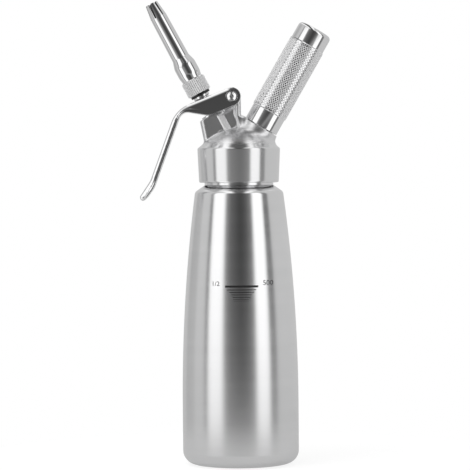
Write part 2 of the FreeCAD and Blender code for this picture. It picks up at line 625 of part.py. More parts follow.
def make_bottle():
    """Model the bottle and the threaded ring on its neck."""
    outside = turned("bottle_outside", ON_BOTTLE, [
        (0, 0),
        ("bottle_radius", 0),
        ("bottle_radius", "straight_height"),
        ("shoulder_radius", "shoulder_height", "tangent"),
        ("neck_radius", "neck_foot_height"),
        ("neck_radius", "rim_height"),
        (0, "rim_height"),
    ], [
        ("bottle_radius", 0, "base_corner_round"),
        ("shoulder_radius", "shoulder_height", "shoulder_round"),
        ("neck_radius", "neck_foot_height", "neck_foot_round"),
    ])
    inside = turned("bottle_inside", ON_BOTTLE, [
        (0, "base_wall"),
        ("bottle_radius - bottle_wall", "base_wall"),
        ("bottle_radius - bottle_wall", "straight_height"),
        ("shoulder_radius - 0.92 * bottle_wall", "shoulder_height - 0.6 * bottle_wall", "tangent"),
        ("neck_radius - bottle_wall", "neck_foot_height - 0.55 * bottle_wall"),
        ("neck_radius - bottle_wall", "rim_height + cut_margin"),
        (0, "rim_height + cut_margin"),
    ], [
        ("bottle_radius - bottle_wall", "base_wall", "base_corner_round - bottle_wall"),
        ("shoulder_radius - 0.92 * bottle_wall", "shoulder_height - 0.6 * bottle_wall",
         "shoulder_round - bottle_wall"),
        ("neck_radius - bottle_wall", "neck_foot_height - 0.55 * bottle_wall",
         "neck_foot_round + bottle_wall"),
    ])
    trimmed("bottle", outside, [inside])
    ring_foot = "(rim_height - thread_ring_drop - thread_ring_height)"
    thread_ring = turned("neck_thread_ring", ON_BOTTLE, ring(
        "neck_radius", "neck_radius + thread_ring_wall", ring_foot, "rim_height - thread_ring_drop"))
    add_thread(thread_ring, "(neck_radius + thread_ring_wall)", ring_foot + " + 2",
               "head_thread_depth", "head_thread_width", "head_thread_lead", "head_thread_turns", 2)
    turned("head_gasket", ON_BOTTLE, ring(
        "cavity_radius", "collar_bore_radius - gasket_side_gap", "rim_height", "gasket_seat_height"))


def lug_and_valve_boss():
    """Return the upright part of the head: the valve boss, the lug and the lug's two pockets."""
    boss = new_body("valve_boss", ON_VALVE)
    add_pad(boss, [
        ("-valve_boss_foot_radius", "valve_boss_foot"),
        ("valve_boss_foot_radius", "valve_boss_foot"),
        ("valve_boss_top_radius", "valve_boss_top"),
        ("-valve_boss_top_radius", "valve_boss_top"),
    ], "head_slab_half")
    round_sides(boss, "head_slab_half", "boss_edge_round")
    crown = "(strip_under - lug_crown_gap)"
    relief = "(squeezed_slope + lug_relief_angle)"
    left = "(press_collar_radius + lug_stem_gap)"
    tangent = in_valve(f"pivot_x - {crown} * sin({relief})", f"pivot_height + {crown} * cos({relief})")
    lug = new_body("lever_lug", ON_VALVE)
    add_pad(lug, [
        (left, "valve_boss_foot"),
        in_valve("lug_right_x + lug_foot_reach", "dome_height - lug_foot_sink"),
        in_valve("lug_right_x + lug_foot_reach", "lug_flare_height - lug_flare_drop"),
        in_valve("lug_right_x", "lug_flare_height"),
        in_valve("lug_right_x", "pivot_height - lug_shoulder_drop"),
        in_valve("pivot_x + lug_crown_run", "pivot_height + lug_crown_rise"),
        in_valve("pivot_x", f"pivot_height + {crown}"),
        tangent,
        (left, f"{tangent[1]} - ({tangent[0]} - {left}) * tan({relief} - valve_tilt)"),
    ], "head_slab_half")
    pocket = new_body("lug_pocket")
    floor = outline_sketch(pocket, [
        from_valve("pocket_floor_left", "valve_bore_floor - pocket_foot_drop"),
        ("pocket_floor_right + pocket_foot_reach", "dome_height - floor_foot_sink"),
        ("pocket_floor_right + floor_knee_reach", "lug_flare_height - floor_knee_drop"),
        ("pocket_floor_right", "lug_flare_height"),
        ("pocket_floor_right", "pocket_floor_top"),
        from_valve("pocket_floor_left", "valve_boss_top - floor_corner_drop"),
    ], offset="pocket_floor_half")
    rim = outline_sketch(pocket, [
        from_valve("pocket_rim_left", "valve_bore_floor - pocket_foot_drop"),
        ("pocket_rim_right + pocket_foot_reach", "dome_height - rim_foot_sink"),
        ("pocket_rim_right + rim_knee_reach", "lug_flare_height - rim_knee_drop"),
        ("pocket_rim_right", "lug_flare_height - rim_corner_drop"),
        ("pocket_rim_right", "pocket_rim_top"),
        from_valve("pocket_rim_left", "valve_boss_top - rim_top_drop"),
    ], offset="head_slab_half")
    loft = pocket.newObject("PartDesign::AdditiveLoft", "lug_pocket_loft")
    loft.Profile = floor
    loft.Sections = [rim]
    loft.Ruled = True
    doc.recompute()
    far_pocket = doc.addObject("Part::Mirroring", "far_lug_pocket")
    far_pocket.Source = pocket
    far_pocket.Normal = (0, 1, 0)
    doc.recompute()
    return trimmed("lug_and_boss", fused("lug_with_boss", [boss, lug]), [pocket, far_pocket])


def make_head():
    """Model the head: one casting, turned, bored and threaded."""
    collar = turned("collar_and_dome", ON_BOTTLE, [
        (0, "collar_foot_height"),
        ("collar_foot_radius", "collar_foot_height"),
        ("collar_top_radius", "collar_top_height"),
        ("dome_foot_radius", "dome_foot_height"),
        (0, "dome_height", "domed"),
    ], [("collar_top_radius", "collar_top_height", "collar_top_round")])
    round_rings(collar, [("collar_foot_radius", "collar_foot_height", "collar_foot_chamfer")], "Chamfer")
    charger_boss = turned("charger_boss", ON_CHARGER, disc(
        "charger_boss_radius", "valve_boss_foot", "charger_boss_top"),
        [("charger_boss_radius", "charger_boss_top", "charger_boss_round")])
    outside = fused("head_outside", [collar, charger_boss, lug_and_valve_boss()])
    cavity = turned("head_cavity", ON_BOTTLE, [
        (0, "collar_foot_height - cut_margin"),
        ("collar_bore_radius", "collar_foot_height - cut_margin"),
        ("collar_bore_radius", "gasket_seat_height"),
        ("cavity_radius", "gasket_seat_height"),
        ("cavity_radius", "dome_foot_height"),
        (0, "cavity_height", "domed"),
    ])
    shell = trimmed("head_shell", outside, [cavity])
    valve_seat = turned("valve_seat_boss", ON_VALVE, disc(
        "valve_seat_boss_radius", "valve_seat_height", "valve_bore_floor"))
    charger_seat = turned("charger_seat_boss", ON_CHARGER, disc(
        "charger_seat_boss_radius", "charger_seat_height", "charger_seat_height + charger_seat_boss_height"))
    spigot = turned("charger_spigot", ON_CHARGER, disc(
        "spigot_radius", "charger_boss_top - spigot_root", "spigot_top"))
    add_thread(spigot, "spigot_radius", "charger_boss_top + charger_thread_rise", "charger_thread_depth",
               "charger_thread_width", "charger_thread_lead", "charger_thread_turns", 2)
    valve_bore = turned("valve_bore", ON_VALVE, [
        (0, "valve_seat_height - cut_margin"),
        ("valve_throat_radius", "valve_seat_height - cut_margin"),
        ("valve_throat_radius", "valve_bore_floor"),
        ("valve_bore_radius", "valve_bore_floor"),
        ("valve_bore_radius", "valve_boss_top + cut_margin"),
        (0, "valve_boss_top + cut_margin"),
    ])
    charger_bore = turned("charger_bore", ON_CHARGER, [
        (0, "charger_seat_height - cut_margin"),
        ("check_valve_radius", "charger_seat_height - cut_margin"),
        ("check_valve_radius", "carrier_foot"),
        ("charger_bore_radius", "carrier_foot"),
        ("charger_bore_radius", "spigot_top + cut_margin"),
        (0, "spigot_top + cut_margin"),
    ])
    pivot_bore = turned("pivot_bore", ON_PIVOT, disc(
        "pivot_radius", "-lever_half_width", "lever_half_width"))
    solid = fused("head_solid", [shell, valve_seat, charger_seat, spigot])
    trimmed("head", solid, [valve_bore, charger_bore, pivot_bore])


def make_valve():
    """Model the stem, what is on it, the guide bush and the return spring."""
    stem = turned("valve_stem", ON_VALVE, [
        (0, "foot_top - stem_foot_height"),
        ("stem_foot_radius", "foot_top - stem_foot_height"),
        ("stem_foot_radius", "foot_top"),
        ("stem_radius", "foot_top"),
        ("stem_radius", "nozzle_foot"),
        ("tip_thread_root", "nozzle_foot"),
        ("tip_thread_root", "stem_top"),
        ("stem_passage_radius", "stem_top"),
        ("stem_passage_radius", "passage_floor"),
        (0, "passage_floor"),
    ])
    add_thread(stem, "tip_thread_root", "nozzle_foot + tip_thread_rise", "tip_thread_depth",
               "tip_thread_width", "tip_thread_lead", "tip_thread_turns", 1)
    bore_across(stem, "port", 0, "passage_floor + port_rise", "port_radius")
    turned("valve_seat_gasket", ON_VALVE, ring(
        "stem_radius", "stem_foot_radius", "foot_top", "valve_seat_height"))
    turned("spring_retainer", ON_VALVE, ring(
        "stem_radius", "valve_bore_radius - retainer_side_gap",
        "retainer_top - retainer_height", "retainer_top"))
    turned("press_collar", ON_VALVE, [
        ("stem_radius", "press_top - press_collar_height"),
        ("press_collar_radius", "press_top - press_collar_height"),
        ("press_collar_radius", "press_top"),
        ("sleeve_neck_radius", "press_top"),
        ("sleeve_neck_radius", "flange_top - sleeve_flange_height"),
        ("sleeve_flange_radius", "flange_top - sleeve_flange_height"),
        ("sleeve_flange_radius", "flange_top"),
        ("stem_radius", "flange_top"),
    ])
    bore = "(stem_radius + running_gap)"
    groove = f"({bore} + 2 * o_ring_section)"
    turned("valve_guide_bush", ON_VALVE, [
        (bore, "guide_foot"),
        ("valve_bore_radius", "guide_foot"),
        ("valve_bore_radius", "valve_boss_top"),
        ("guide_rim_radius", "valve_boss_top"),
        ("guide_rim_radius", "valve_boss_top + guide_rim_height"),
        (bore, "valve_boss_top + guide_rim_height"),
        (bore, "o_ring_height + o_ring_section"),
        (groove, "o_ring_height + o_ring_section"),
        (groove, "o_ring_height - o_ring_section"),
        (bore, "o_ring_height - o_ring_section"),
    ])
    o_ring = new_body("stem_o_ring", ON_VALVE)
    turn_sketch(o_ring, circle_sketch(o_ring, f"{bore} + o_ring_section", "o_ring_height",
                                      "o_ring_section"))
    spring = new_body("valve_spring", ON_VALVE)
    coil = circle_sketch(spring, "spring_mean_radius", "valve_bore_floor + spring_wire", "spring_wire")
    helix = spring.newObject("PartDesign::AdditiveHelix", "valve_spring_coil")
    helix.Profile = coil
    helix.ReferenceAxis = (coil, ["V_Axis"])
    helix.Mode = "height-turns-angle"
    tell(helix, Height="retainer_top - retainer_height - valve_bore_floor - 2 * spring_wire",
         Turns="spring_turns")
    doc.recompute()


def make_lever():
    """Model the lever, in a frame at its pivot with X along the strip."""
    lever = new_body("lever", ON_LEVER)
    inner_x = "-bend_length - handle_wall * handle_z"
    inner_z = "eye_radius + handle_wall * handle_x"
    nose = "(flare_length + flare_nose_reach)"
    corners = {
        "bend": ("-bend_length", "eye_radius"),
        "flare": ("flare_start_x", "flare_start_z"),
        "end": ("flare_start_x + flare_length * flare_x", "flare_start_z + flare_length * flare_z"),
        "nose": (f"flare_start_x + {nose} * flare_x - flare_nose_drop * flare_z",
                 f"flare_start_z + {nose} * flare_z + flare_nose_drop * flare_x"),
        "heel": ("flare_start_x + flare_inner_length * flare_x - flare_wall * flare_z",
                 "flare_start_z + flare_inner_length * flare_z + flare_wall * flare_x"),
        "inner_flare": (f"{inner_x} + (handle_length + flare_inner_lag) * handle_x",
                        f"{inner_z} + (handle_length + flare_inner_lag) * handle_z"),
        "inner_bend": (f"{inner_x} + inner_bend_drop * handle_x",
                       f"{inner_z} + inner_bend_drop * handle_z"),
        "cheek_end": ("-cheek_end", "cheek_end_rise"),
        "cheek_foot": ("-cheek_run", "-eye_radius"),
    }
    add_pad(lever, [(0, "eye_radius", "tangent"), *corners.values(), (0, "-eye_radius")],
            "lever_half_width")
    round_corners(lever, [
        corners["bend"] + ("bend_round",),
        corners["flare"] + ("flare_round",),
        corners["end"] + ("flare_end_round",),
        corners["nose"] + ("flare_nose_round",),
        corners["heel"] + ("flare_heel_round",),
        corners["inner_flare"] + ("flare_inner_round",),
        corners["inner_bend"] + ("inner_bend_round",),
        corners["cheek_end"] + ("cheek_foot_round",),
        corners["cheek_foot"] + ("cheek_foot_round",),
    ])
    round_sides(lever, "lever_half_width", "lever_edge_round")
    add_pocket(lever, "channel", [
        ("-channel_length", "strip_under"),
        (0, "strip_under"),
        (0, "eye_radius + cut_margin"),
        ("eye_radius + cut_margin", "eye_radius + cut_margin"),
        ("eye_radius + cut_margin", "-eye_radius - cut_margin"),
        ("-channel_length", "-eye_radius - cut_margin"),
    ], "channel_half")
    near = "(slot_half_width - slot_half_length - slot_centre)"
    far = "(slot_half_length - slot_half_width - slot_centre)"
    add_pocket(lever, "stem_slot", [
        (far, "slot_half_width", "tangent"),
        (near, "slot_half_width"),
        (near, "-slot_half_width", "tangent"),
        (far, "-slot_half_width"),
    ], "lever_half_width", "XY_Plane")
    bore_across(lever, "eye", 0, 0, "pivot_radius + running_gap")


def make_pivot():
    """Model the lever's screw and its cap nut, in a frame with Z towards the front."""
    screw = turned("pivot_screw", ON_PIVOT, [
        (0, "-screw_reach"),
        ("pivot_radius", "-screw_reach"),
        ("pivot_radius", "head_face"),
        ("screw_head_radius", "head_face"),
        ("screw_head_radius", "head_face + screw_head_height"),
        (0, "head_face + screw_head_height"),
    ], [("screw_head_radius", "head_face + screw_head_height", "screw_edge_round")])
    slot_floor = "head_face + screw_head_height - screw_slot_depth"
    above_head = "head_face + screw_head_height + cut_margin"
    slot = ring("-screw_slot_width / 2", "screw_slot_width / 2", slot_floor, above_head)
    add_pocket(screw, "slot", slot, "screw_head_radius + cut_margin")
    turned("pivot_nut", ON_PIVOT, [
        (0, "-head_face - pivot_nut_height"),
        ("screw_head_radius", "-head_face - pivot_nut_height"),
        ("screw_head_radius", "-head_face"),
        ("pivot_radius", "-head_face"),
        ("pivot_radius", "-screw_reach"),
        (0, "-screw_reach"),
    ], [("screw_head_radius", "-head_face - pivot_nut_height", "screw_edge_round")])


def make_nozzle():
    """Model the black seal, the ribbed nut and the slitted decorator tip."""
    turned("tip_seal", ON_VALVE, ring("tip_bore_radius", "tip_seal_radius", "flange_top", "nozzle_foot"))
    nut = turned("tip_nut", ON_VALVE, [
        ("tip_bore_radius", "nozzle_foot"),
        ("tip_nut_radius", "nozzle_foot"),
        ("tip_nut_radius", "nut_top"),
        ("tip_socket_radius", "nut_top"),
        ("tip_socket_radius", "tip_foot"),
        ("tip_bore_radius", "tip_foot"),
    ])
    round_rings(nut, [
        ("tip_nut_radius", "nozzle_foot", "tip_nut_chamfer"),
        ("tip_nut_radius", "nut_top", "tip_nut_chamfer"),
    ], "Chamfer")
    tip = turned("decorator_tip", ON_TIP, [
        ("tip_socket_radius - tip_wall", "tip_foot"),
        ("tip_socket_radius", "tip_foot"),
        ("tip_socket_radius", "nut_top"),
        ("tip_neck_radius", "nut_top"),
        ("bulb_radius", "nut_top + bulb_foot_height"),
        ("bulb_radius", "nut_top + bulb_body_height"),
        ("tube_foot_radius", "nut_top + bulb_top_height"),
        ("tube_top_radius", "slit_foot"),
        ("tip_end_radius", "nozzle_end"),
        ("tip_end_radius - tip_wall", "nozzle_end"),
        ("tube_top_radius - tip_wall", "slit_foot"),
        ("tube_foot_radius - tip_wall", "nut_top + bulb_top_height"),
        ("tip_socket_radius - tip_wall", "nut_top + bulb_body_height"),
    ], [
        ("bulb_radius", "nut_top + bulb_body_height", "bulb_round"),
        ("tube_foot_radius", "nut_top + bulb_top_height", "bulb_round"),
    ])
    slit = tip.newObject("PartDesign::Pocket", "decorator_tip_slit")
    slit.Profile = outline_sketch(tip, ring("-slit_width / 2", "slit_width / 2", "slit_foot",
                                            "nozzle_end + cut_margin"))
    tell(slit, Length="bulb_radius")
    doc.recompute()
    pattern = tip.newObject("PartDesign::PolarPattern", "decorator_tip_slits")
    pattern.Originals = [slit]
    pattern.Axis = (slit.Profile[0], ["V_Axis"])
    pattern.Angle = 360
    tell(pattern, Occurrences="slit_count")
    tip.Tip = pattern
    doc.recompute()


def make_charger():
    """Model the pin, its carrier and seals, the gas charger and the holder."""
    pin_foot = "(carrier_top - pin_socket_depth)"
    pin_top = "(charger_foot + pin_rise)"
    turned("pin_carrier", ON_CHARGER, [
        ("gas_passage_radius", "carrier_foot - carrier_stem_length"),
        ("carrier_stem_radius", "carrier_foot - carrier_stem_length"),
        ("carrier_stem_radius", "carrier_foot"),
        ("charger_bore_radius", "carrier_foot"),
        ("charger_bore_radius", "carrier_top"),
        ("pin_radius", "carrier_top"),
        ("pin_radius", pin_foot),
        ("gas_passage_radius", pin_foot),
    ])
    turned("piercing_pin", ON_CHARGER, [
        ("pin_bore_radius", pin_foot),
        ("pin_radius", pin_foot),
        ("pin_radius", pin_top + " - pin_point"),
        ("pin_bore_radius + pin_tip_wall", pin_top),
        ("pin_bore_radius", pin_top),
    ])
    turned("charger_seal", ON_CHARGER, ring(
        "pin_radius", "charger_bore_radius", "carrier_top", "charger_foot"))
    turned("check_valve", ON_CHARGER, ring(
        "carrier_stem_radius", "check_valve_radius", "charger_seat_height", "carrier_foot"))
    nut = new_body("carrier_nut", ON_CHARGER)
    sketch = outline_sketch(nut, [
        (f"carrier_nut_flats / cos(30) * cos({angle})", f"carrier_nut_flats / cos(30) * sin({angle})")
        for angle in range(30, 390, 60)
    ], "XY_Plane", "charger_seat_height - carrier_nut_height")
    prism = nut.newObject("PartDesign::Pad", "carrier_nut_prism")
    prism.Profile = sketch
    tell(prism, Length="carrier_nut_height")
    hole = circle_sketch(nut, 0, 0, "carrier_stem_radius", "XY_Plane")
    bore = nut.newObject("PartDesign::Pocket", "carrier_nut_bore")
    bore.Profile = hole
    bore.Type = "ThroughAll"
    bore.Midplane = True
    doc.recompute()
    shoulder_foot = "charger_foot + charger_neck_height"
    body_foot = "charger_foot + charger_neck_height + charger_shoulder_height"
    outside = turned("charger_outside", ON_CHARGER, [
        (0, "charger_foot"),
        ("charger_neck_radius", "charger_foot"),
        ("charger_neck_radius", shoulder_foot),
        ("charger_radius", body_foot),
        ("charger_radius", "charger_top"),
        (0, "charger_top"),
    ], [
        ("charger_radius", "charger_top", "charger_end_round"),
        ("charger_radius", body_foot, "charger_wall"),
    ])
    inside = turned("charger_inside", ON_CHARGER, [
        (0, "charger_foot - cut_margin"),
        ("pierced_radius", "charger_foot - cut_margin"),
        ("pierced_radius", "charger_foot + charger_wall"),
        ("charger_neck_radius - charger_wall", "charger_foot + charger_wall"),
        ("charger_neck_radius - charger_wall", shoulder_foot),
        ("charger_radius - charger_wall", body_foot),
        ("charger_radius - charger_wall", "charger_top - charger_wall"),
        (0, "charger_top - charger_wall"),
    ], [("charger_radius - charger_wall", "charger_top - charger_wall", "charger_end_round - charger_wall")])
    trimmed("gas_charger", outside, [inside])
    turned("holder_cushion", ON_CHARGER, disc("holder_bore_radius", "charger_top", "cushion_top"))
    turned("charger_holder", ON_CHARGER, [
        ("holder_thread_bore", "holder_foot"),
        ("holder_band_radius", "holder_foot"),
        ("holder_band_radius", "holder_foot + holder_low_band"),
        ("holder_knurl_radius", "holder_foot + holder_low_band + knurl_lead_in"),
        ("holder_knurl_radius", "holder_top - holder_top_band - knurl_lead_in"),
        ("holder_band_radius", "holder_top - holder_top_band"),
        ("holder_band_radius", "holder_top"),
        (0, "holder_top"),
        (0, "cushion_top"),
        ("holder_bore_radius", "cushion_top"),
        ("holder_bore_radius", "spigot_top + spigot_end_gap"),
        ("holder_thread_bore", "spigot_top + spigot_end_gap"),
    ], [("holder_band_radius", "holder_top", "holder_end_round")])


PIECES = [
    "bottle", "neck_thread_ring", "head_gasket", "head", "valve_guide_bush", "stem_o_ring",
    "pin_carrier", "piercing_pin", "charger_seal", "check_valve", "carrier_nut", "pivot_screw",
    "pivot_nut", "valve_spring", "lever", "valve_stem", "valve_seat_gasket", "press_collar",
    "spring_retainer", "tip_seal", "tip_nut", "decorator_tip", "gas_charger", "charger_holder",
    "holder_cushion",
]


def check_pieces():
    """Stop if anything in the document failed or a piece has no valid single solid."""
    for item in doc.Objects:
        if "Invalid" in item.State or "Error" in item.State:
            raise RuntimeError(f"{item.Label} did not compute: {item.State}")
    for name in PIECES:
        shape = doc.getObjectsByLabel(name)[0].Shape
        if shape.isNull() or not shape.isValid() or len(shape.Solids) != 1:
            raise RuntimeError(f"{name} is not one valid solid")


fill_sheet()
add_derived_sizes()
make_bottle()
make_head()
make_valve()
make_lever()
make_pivot()
make_nozzle()
make_charger()
doc.recompute()
check_pieces()
os.makedirs("parts", exist_ok=True)
for piece in PIECES:
    doc.getObjectsByLabel(piece)[0].Shape.exportStep(f"parts/{piece}.step")
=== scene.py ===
"""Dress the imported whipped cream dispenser: fine meshes, steel and rubber finishes, studio and camera."""
import logging
import math
from dataclasses import dataclass
from enum import Enum
from typing import Callable, Iterable, Sequence

import bmesh
import bpy
import numpy as np
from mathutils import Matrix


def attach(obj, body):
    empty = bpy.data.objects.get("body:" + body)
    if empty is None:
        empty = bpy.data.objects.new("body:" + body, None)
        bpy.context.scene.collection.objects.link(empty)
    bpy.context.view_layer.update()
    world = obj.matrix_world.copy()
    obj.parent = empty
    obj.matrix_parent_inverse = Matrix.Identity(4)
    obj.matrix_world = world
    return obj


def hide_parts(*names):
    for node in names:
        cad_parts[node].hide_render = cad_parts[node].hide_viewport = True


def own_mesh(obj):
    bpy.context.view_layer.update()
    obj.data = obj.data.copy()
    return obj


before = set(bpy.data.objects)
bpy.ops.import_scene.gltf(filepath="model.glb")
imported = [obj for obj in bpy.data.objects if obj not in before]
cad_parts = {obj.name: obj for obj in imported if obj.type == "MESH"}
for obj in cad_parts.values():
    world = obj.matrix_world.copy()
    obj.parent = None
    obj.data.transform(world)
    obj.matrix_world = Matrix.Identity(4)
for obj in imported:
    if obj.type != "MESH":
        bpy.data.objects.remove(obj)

import openvdb
from mathutils import Matrix, Vector

LOG = logging.getLogger("dispenser")
# The pieces are sized in millimetres and the studio in metres, as Blender's scene is.
MM = 0.001
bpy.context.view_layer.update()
Point = tuple[float, ...]
Faces = list[tuple[int, ...]]
Field = Callable[[np.ndarray], np.ndarray]
SHARP_EDGE = math.radians(32.0)


# ---------------------------------------------------------------- frames and outlines


@dataclass(frozen=True)
class Axis:
    """A local frame of a sub-assembly: its origin in millimetres, its tilt about Y and its spin."""

    origin: tuple[float, float, float]
    tilt: float = 0.0
    spin: float = 0.0

    def matrix(self) -> np.ndarray:
        """Return the 3 by 3 rotation whose columns are the local axes."""
        tilt, spin = math.radians(self.tilt), math.radians(self.spin)
        return np.array(Matrix.Rotation(tilt, 3, "Y") @ Matrix.Rotation(spin, 3, "Z"))

    def to_world(self, local: np.ndarray) -> np.ndarray:
        """Return points of this frame, one per row in millimetres, in the row frame."""
        return local @ self.matrix().T + np.array(self.origin)

    def to_local(self, world: np.ndarray) -> np.ndarray:
        """Return points of the row frame, one per row in millimetres, in this frame."""
        return (world - np.array(self.origin)) @ self.matrix()

    def stand(self, piece: bpy.types.Object) -> None:
        """Move the mesh of a piece that was made about the origin into this frame."""
        turn = Matrix(self.matrix().tolist()).to_quaternion()
        piece.data.transform(Matrix.LocRotScale(Vector(self.origin) * MM, turn, None))


@dataclass(frozen=True)
class PivotAxis(Axis):
    """The pivot's frame, whose Z points to the front."""

    def matrix(self) -> np.ndarray:
        """Return the rotation about X by a quarter turn."""
        return np.array(Matrix.Rotation(math.pi / 2, 3, "X"))


# The valve's and the charger's axes cross the bottle's axis at one height.
CROSSING = 198.0
VALVE_LEAN, CHARGER_LEAN, LEVER_LEAN, LEVER_STROKE = 28.0, 30.0, 22.0, 9.0
PIVOT_X, PIVOT_Z, PIVOT_BORE = -4.4, 243.5, 2.26
UPRIGHT = Axis((0.0, 0.0, 0.0))
VALVE = Axis((0.0, 0.0, CROSSING), -VALVE_LEAN)
CHARGER = Axis((0.0, 0.0, CROSSING), CHARGER_LEAN)
LEVER = Axis((PIVOT_X, 0.0, PIVOT_Z), -LEVER_LEAN)
PIVOT = PivotAxis((PIVOT_X, 0.0, PIVOT_Z))


def rounded(corners: Sequence[Point], steps: int = 8) -> np.ndarray:
    """Return a closed outline with its corners rounded.

    Args:
        corners: places as (a, b) or (a, b, radius), in order.
        steps: number of straight pieces in each arc.

    Returns:
        The outline's points, one per row.
    """
    points: list[np.ndarray] = []
    count = len(corners)
    most = 0.98
    for i, corner in enumerate(corners):
        here = np.array(corner[:2], float)
        if len(corner) < 3 or corner[2] <= 0:
            points.append(here)
            continue
        back = np.array(corners[i - 1][:2], float) - here
        ahead = np.array(corners[(i + 1) % count][:2], float) - here
        back_length, ahead_length = np.linalg.norm(back), np.linalg.norm(ahead)
        back, ahead = back / back_length, ahead / ahead_length
        angle = math.acos(float(np.clip(back @ ahead, -1, 1)))
        reach = min(corner[2] / math.tan(angle / 2), most * back_length, most * ahead_length)
        radius = reach * math.tan(angle / 2)
        middle = here + (back + ahead) / np.linalg.norm(back + ahead) * radius / math.sin(angle / 2)
        start, end = here + back * reach - middle, here + ahead * reach - middle
        sweep = math.atan2(start[0] * end[1] - start[1] * end[0], float(start @ end))
        for k in range(steps + 1):
            turn = sweep * k / steps
            c, s = math.cos(turn), math.sin(turn)
            points.append(middle + np.array([c * start[0] - s * start[1], s * start[0] + c * start[1]]))
    return np.array(points)


def arc(centre: Point, radius: float, first: float, last: float, steps: int = 24) -> list[Point]:
    """Return points on an arc.

    Args:
        centre: centre of the arc.
        radius: its radius.
        first: angle of its first point, in degrees.
        last: angle of its last point, in degrees.
        steps: number of straight pieces.

    Returns:
        The points, first to last.
    """
    angles = np.radians(np.linspace(first, last, steps + 1))
    return [(centre[0] + radius * math.cos(a), centre[1] + radius * math.sin(a)) for a in angles]


# ---------------------------------------------------------------- meshes


def placed(name: str, data: bpy.types.ID) -> bpy.types.Object:
    """Return a new object at the origin that holds a mesh, a curve, a light or a camera."""
    piece = bpy.data.objects.new(name, data)
    bpy.context.scene.collection.objects.link(piece)
    return piece


def mesh_object(name: str, points: np.ndarray, faces: Iterable[Sequence[int]]) -> bpy.types.Object:
    """Return a new object at the origin with a smooth mesh of the given faces.

    Args:
        name: name of the piece.
        points: vertices in the row frame, in millimetres.
        faces: vertex numbers of each face.

    Returns:
        The object, linked to the scene.
    """
    mesh = bpy.data.meshes.new(name)
    mesh.from_pydata((points * MM).tolist(), [], [list(f) for f in faces])
    work = bmesh.new()
    work.from_mesh(mesh)
    bmesh.ops.remove_doubles(work, verts=work.verts, dist=1e-7)
    bmesh.ops.recalc_face_normals(work, faces=work.faces)
    work.to_mesh(mesh)
    work.free()
    mesh.shade_smooth()
    mesh.set_sharp_from_angle(angle=SHARP_EDGE)
    return placed(name, mesh)


def around_z(radius: float | np.ndarray, angles: np.ndarray, height: float | np.ndarray) -> np.ndarray:
    """Return places round Z, one per angle; the radius and the height are one each or one per angle."""
    heights = np.broadcast_to(height, angles.shape)
    return np.stack([radius * np.cos(angles), radius * np.sin(angles), heights], 1)


def lathe(name: str, outline: Sequence[Point], axis: Axis, segments: int = 192) -> bpy.types.Object:
    """Return a turned piece.

    Args:
        name: name of the piece.
        outline: closed outline of (radius, height), in millimetres.
        axis: frame whose Z is the turning axis.
        segments: number of facets around.

    Returns:
        The object, linked to the scene.
    """
    angles = np.linspace(0, 2 * math.pi, segments, endpoint=False)
    rings: list[np.ndarray] = []
    starts: list[tuple[int, bool]] = []
    for radius, height in np.asarray(outline, float):
        pole = radius < 1e-6
        starts.append((sum(len(ring) for ring in rings), pole))
        around = angles[:1] if pole else angles
        rings.append(around_z(radius, around, height))
    faces: Faces = []
    for (a, a_pole), (b, b_pole) in zip(starts, starts[1:] + starts[:1]):
        for k in range(0 if a_pole and b_pole else segments):
            n = (k + 1) % segments
            if a_pole:
                faces.append((a, b + n, b + k))
            elif b_pole:
                faces.append((a + k, a + n, b))
            else:
                faces.append((a + k, a + n, b + n, b + k))
    return mesh_object(name, axis.to_world(np.vstack(rings)), faces)


def swept(rings: Sequence[np.ndarray]) -> tuple[np.ndarray, Faces]:
    """Return the closed mesh of a cross-section that runs along a line.

    Args:
        rings: for each corner of the cross-section, its places along the line, one per row.

    Returns:
        The mesh's points and faces.
    """
    sides, steps = len(rings), len(rings[0]) - 1
    faces: Faces = [tuple(reversed(range(sides))), tuple(range(sides * steps, sides * (steps + 1)))]
    for i in range(steps):
        for j in range(sides):
            a, b = sides * i + j, sides * i + (j + 1) % sides
            faces.append((a, b, b + sides, a + sides))
    return np.stack(rings, 1).reshape(-1, 3), faces


def helix_ridge(radius: float, foot: float, depth: float, width: float, lead: float, turns: float,
                first: float) -> tuple[np.ndarray, Faces]:
    """Return a thread ridge that runs out at both ends.

    Args:
        radius: root radius.
        foot: height of the ridge's start.
        depth: height of the ridge.
        width: width at the root.
        lead: advance for one turn.
        turns: number of turns.
        first: angle of the start, in degrees.

    Returns:
        The ridge's points in its own frame, and its faces.
    """
    per_turn, run_out, sunk, crest_half = 48, 5, 0.15, 0.16
    steps = int(per_turn * turns)
    share = np.linspace(0, 1, steps + 1)
    angle = np.radians(first) + 2 * math.pi * turns * share
    rise = foot + lead * turns * share
    out = np.clip(np.minimum(share, 1 - share) * steps / run_out, 0.0, 1.0) * depth
    corners = ((-sunk, 0.5), (out, crest_half), (out, -crest_half), (-sunk, -0.5))
    return swept([around_z(radius + push, angle, rise + aside * width) for push, aside in corners])


def joined(name: str, parts: Sequence[bpy.types.Object]) -> bpy.types.Object:
    """Return one object that holds the meshes of several, which all lie at the origin.

    Args:
        name: name of the new object.
        parts: the objects to join; they are removed.

    Returns:
        The joined object.
    """
    keep = parts[0]
    if len(parts) > 1:
        with bpy.context.temp_override(active_object=keep, object=keep, selected_objects=list(parts),
                                       selected_editable_objects=list(parts)):
            bpy.ops.object.join()
    keep.name = name
    keep.data.name = name
    return keep


# ---------------------------------------------------------------- distance fields


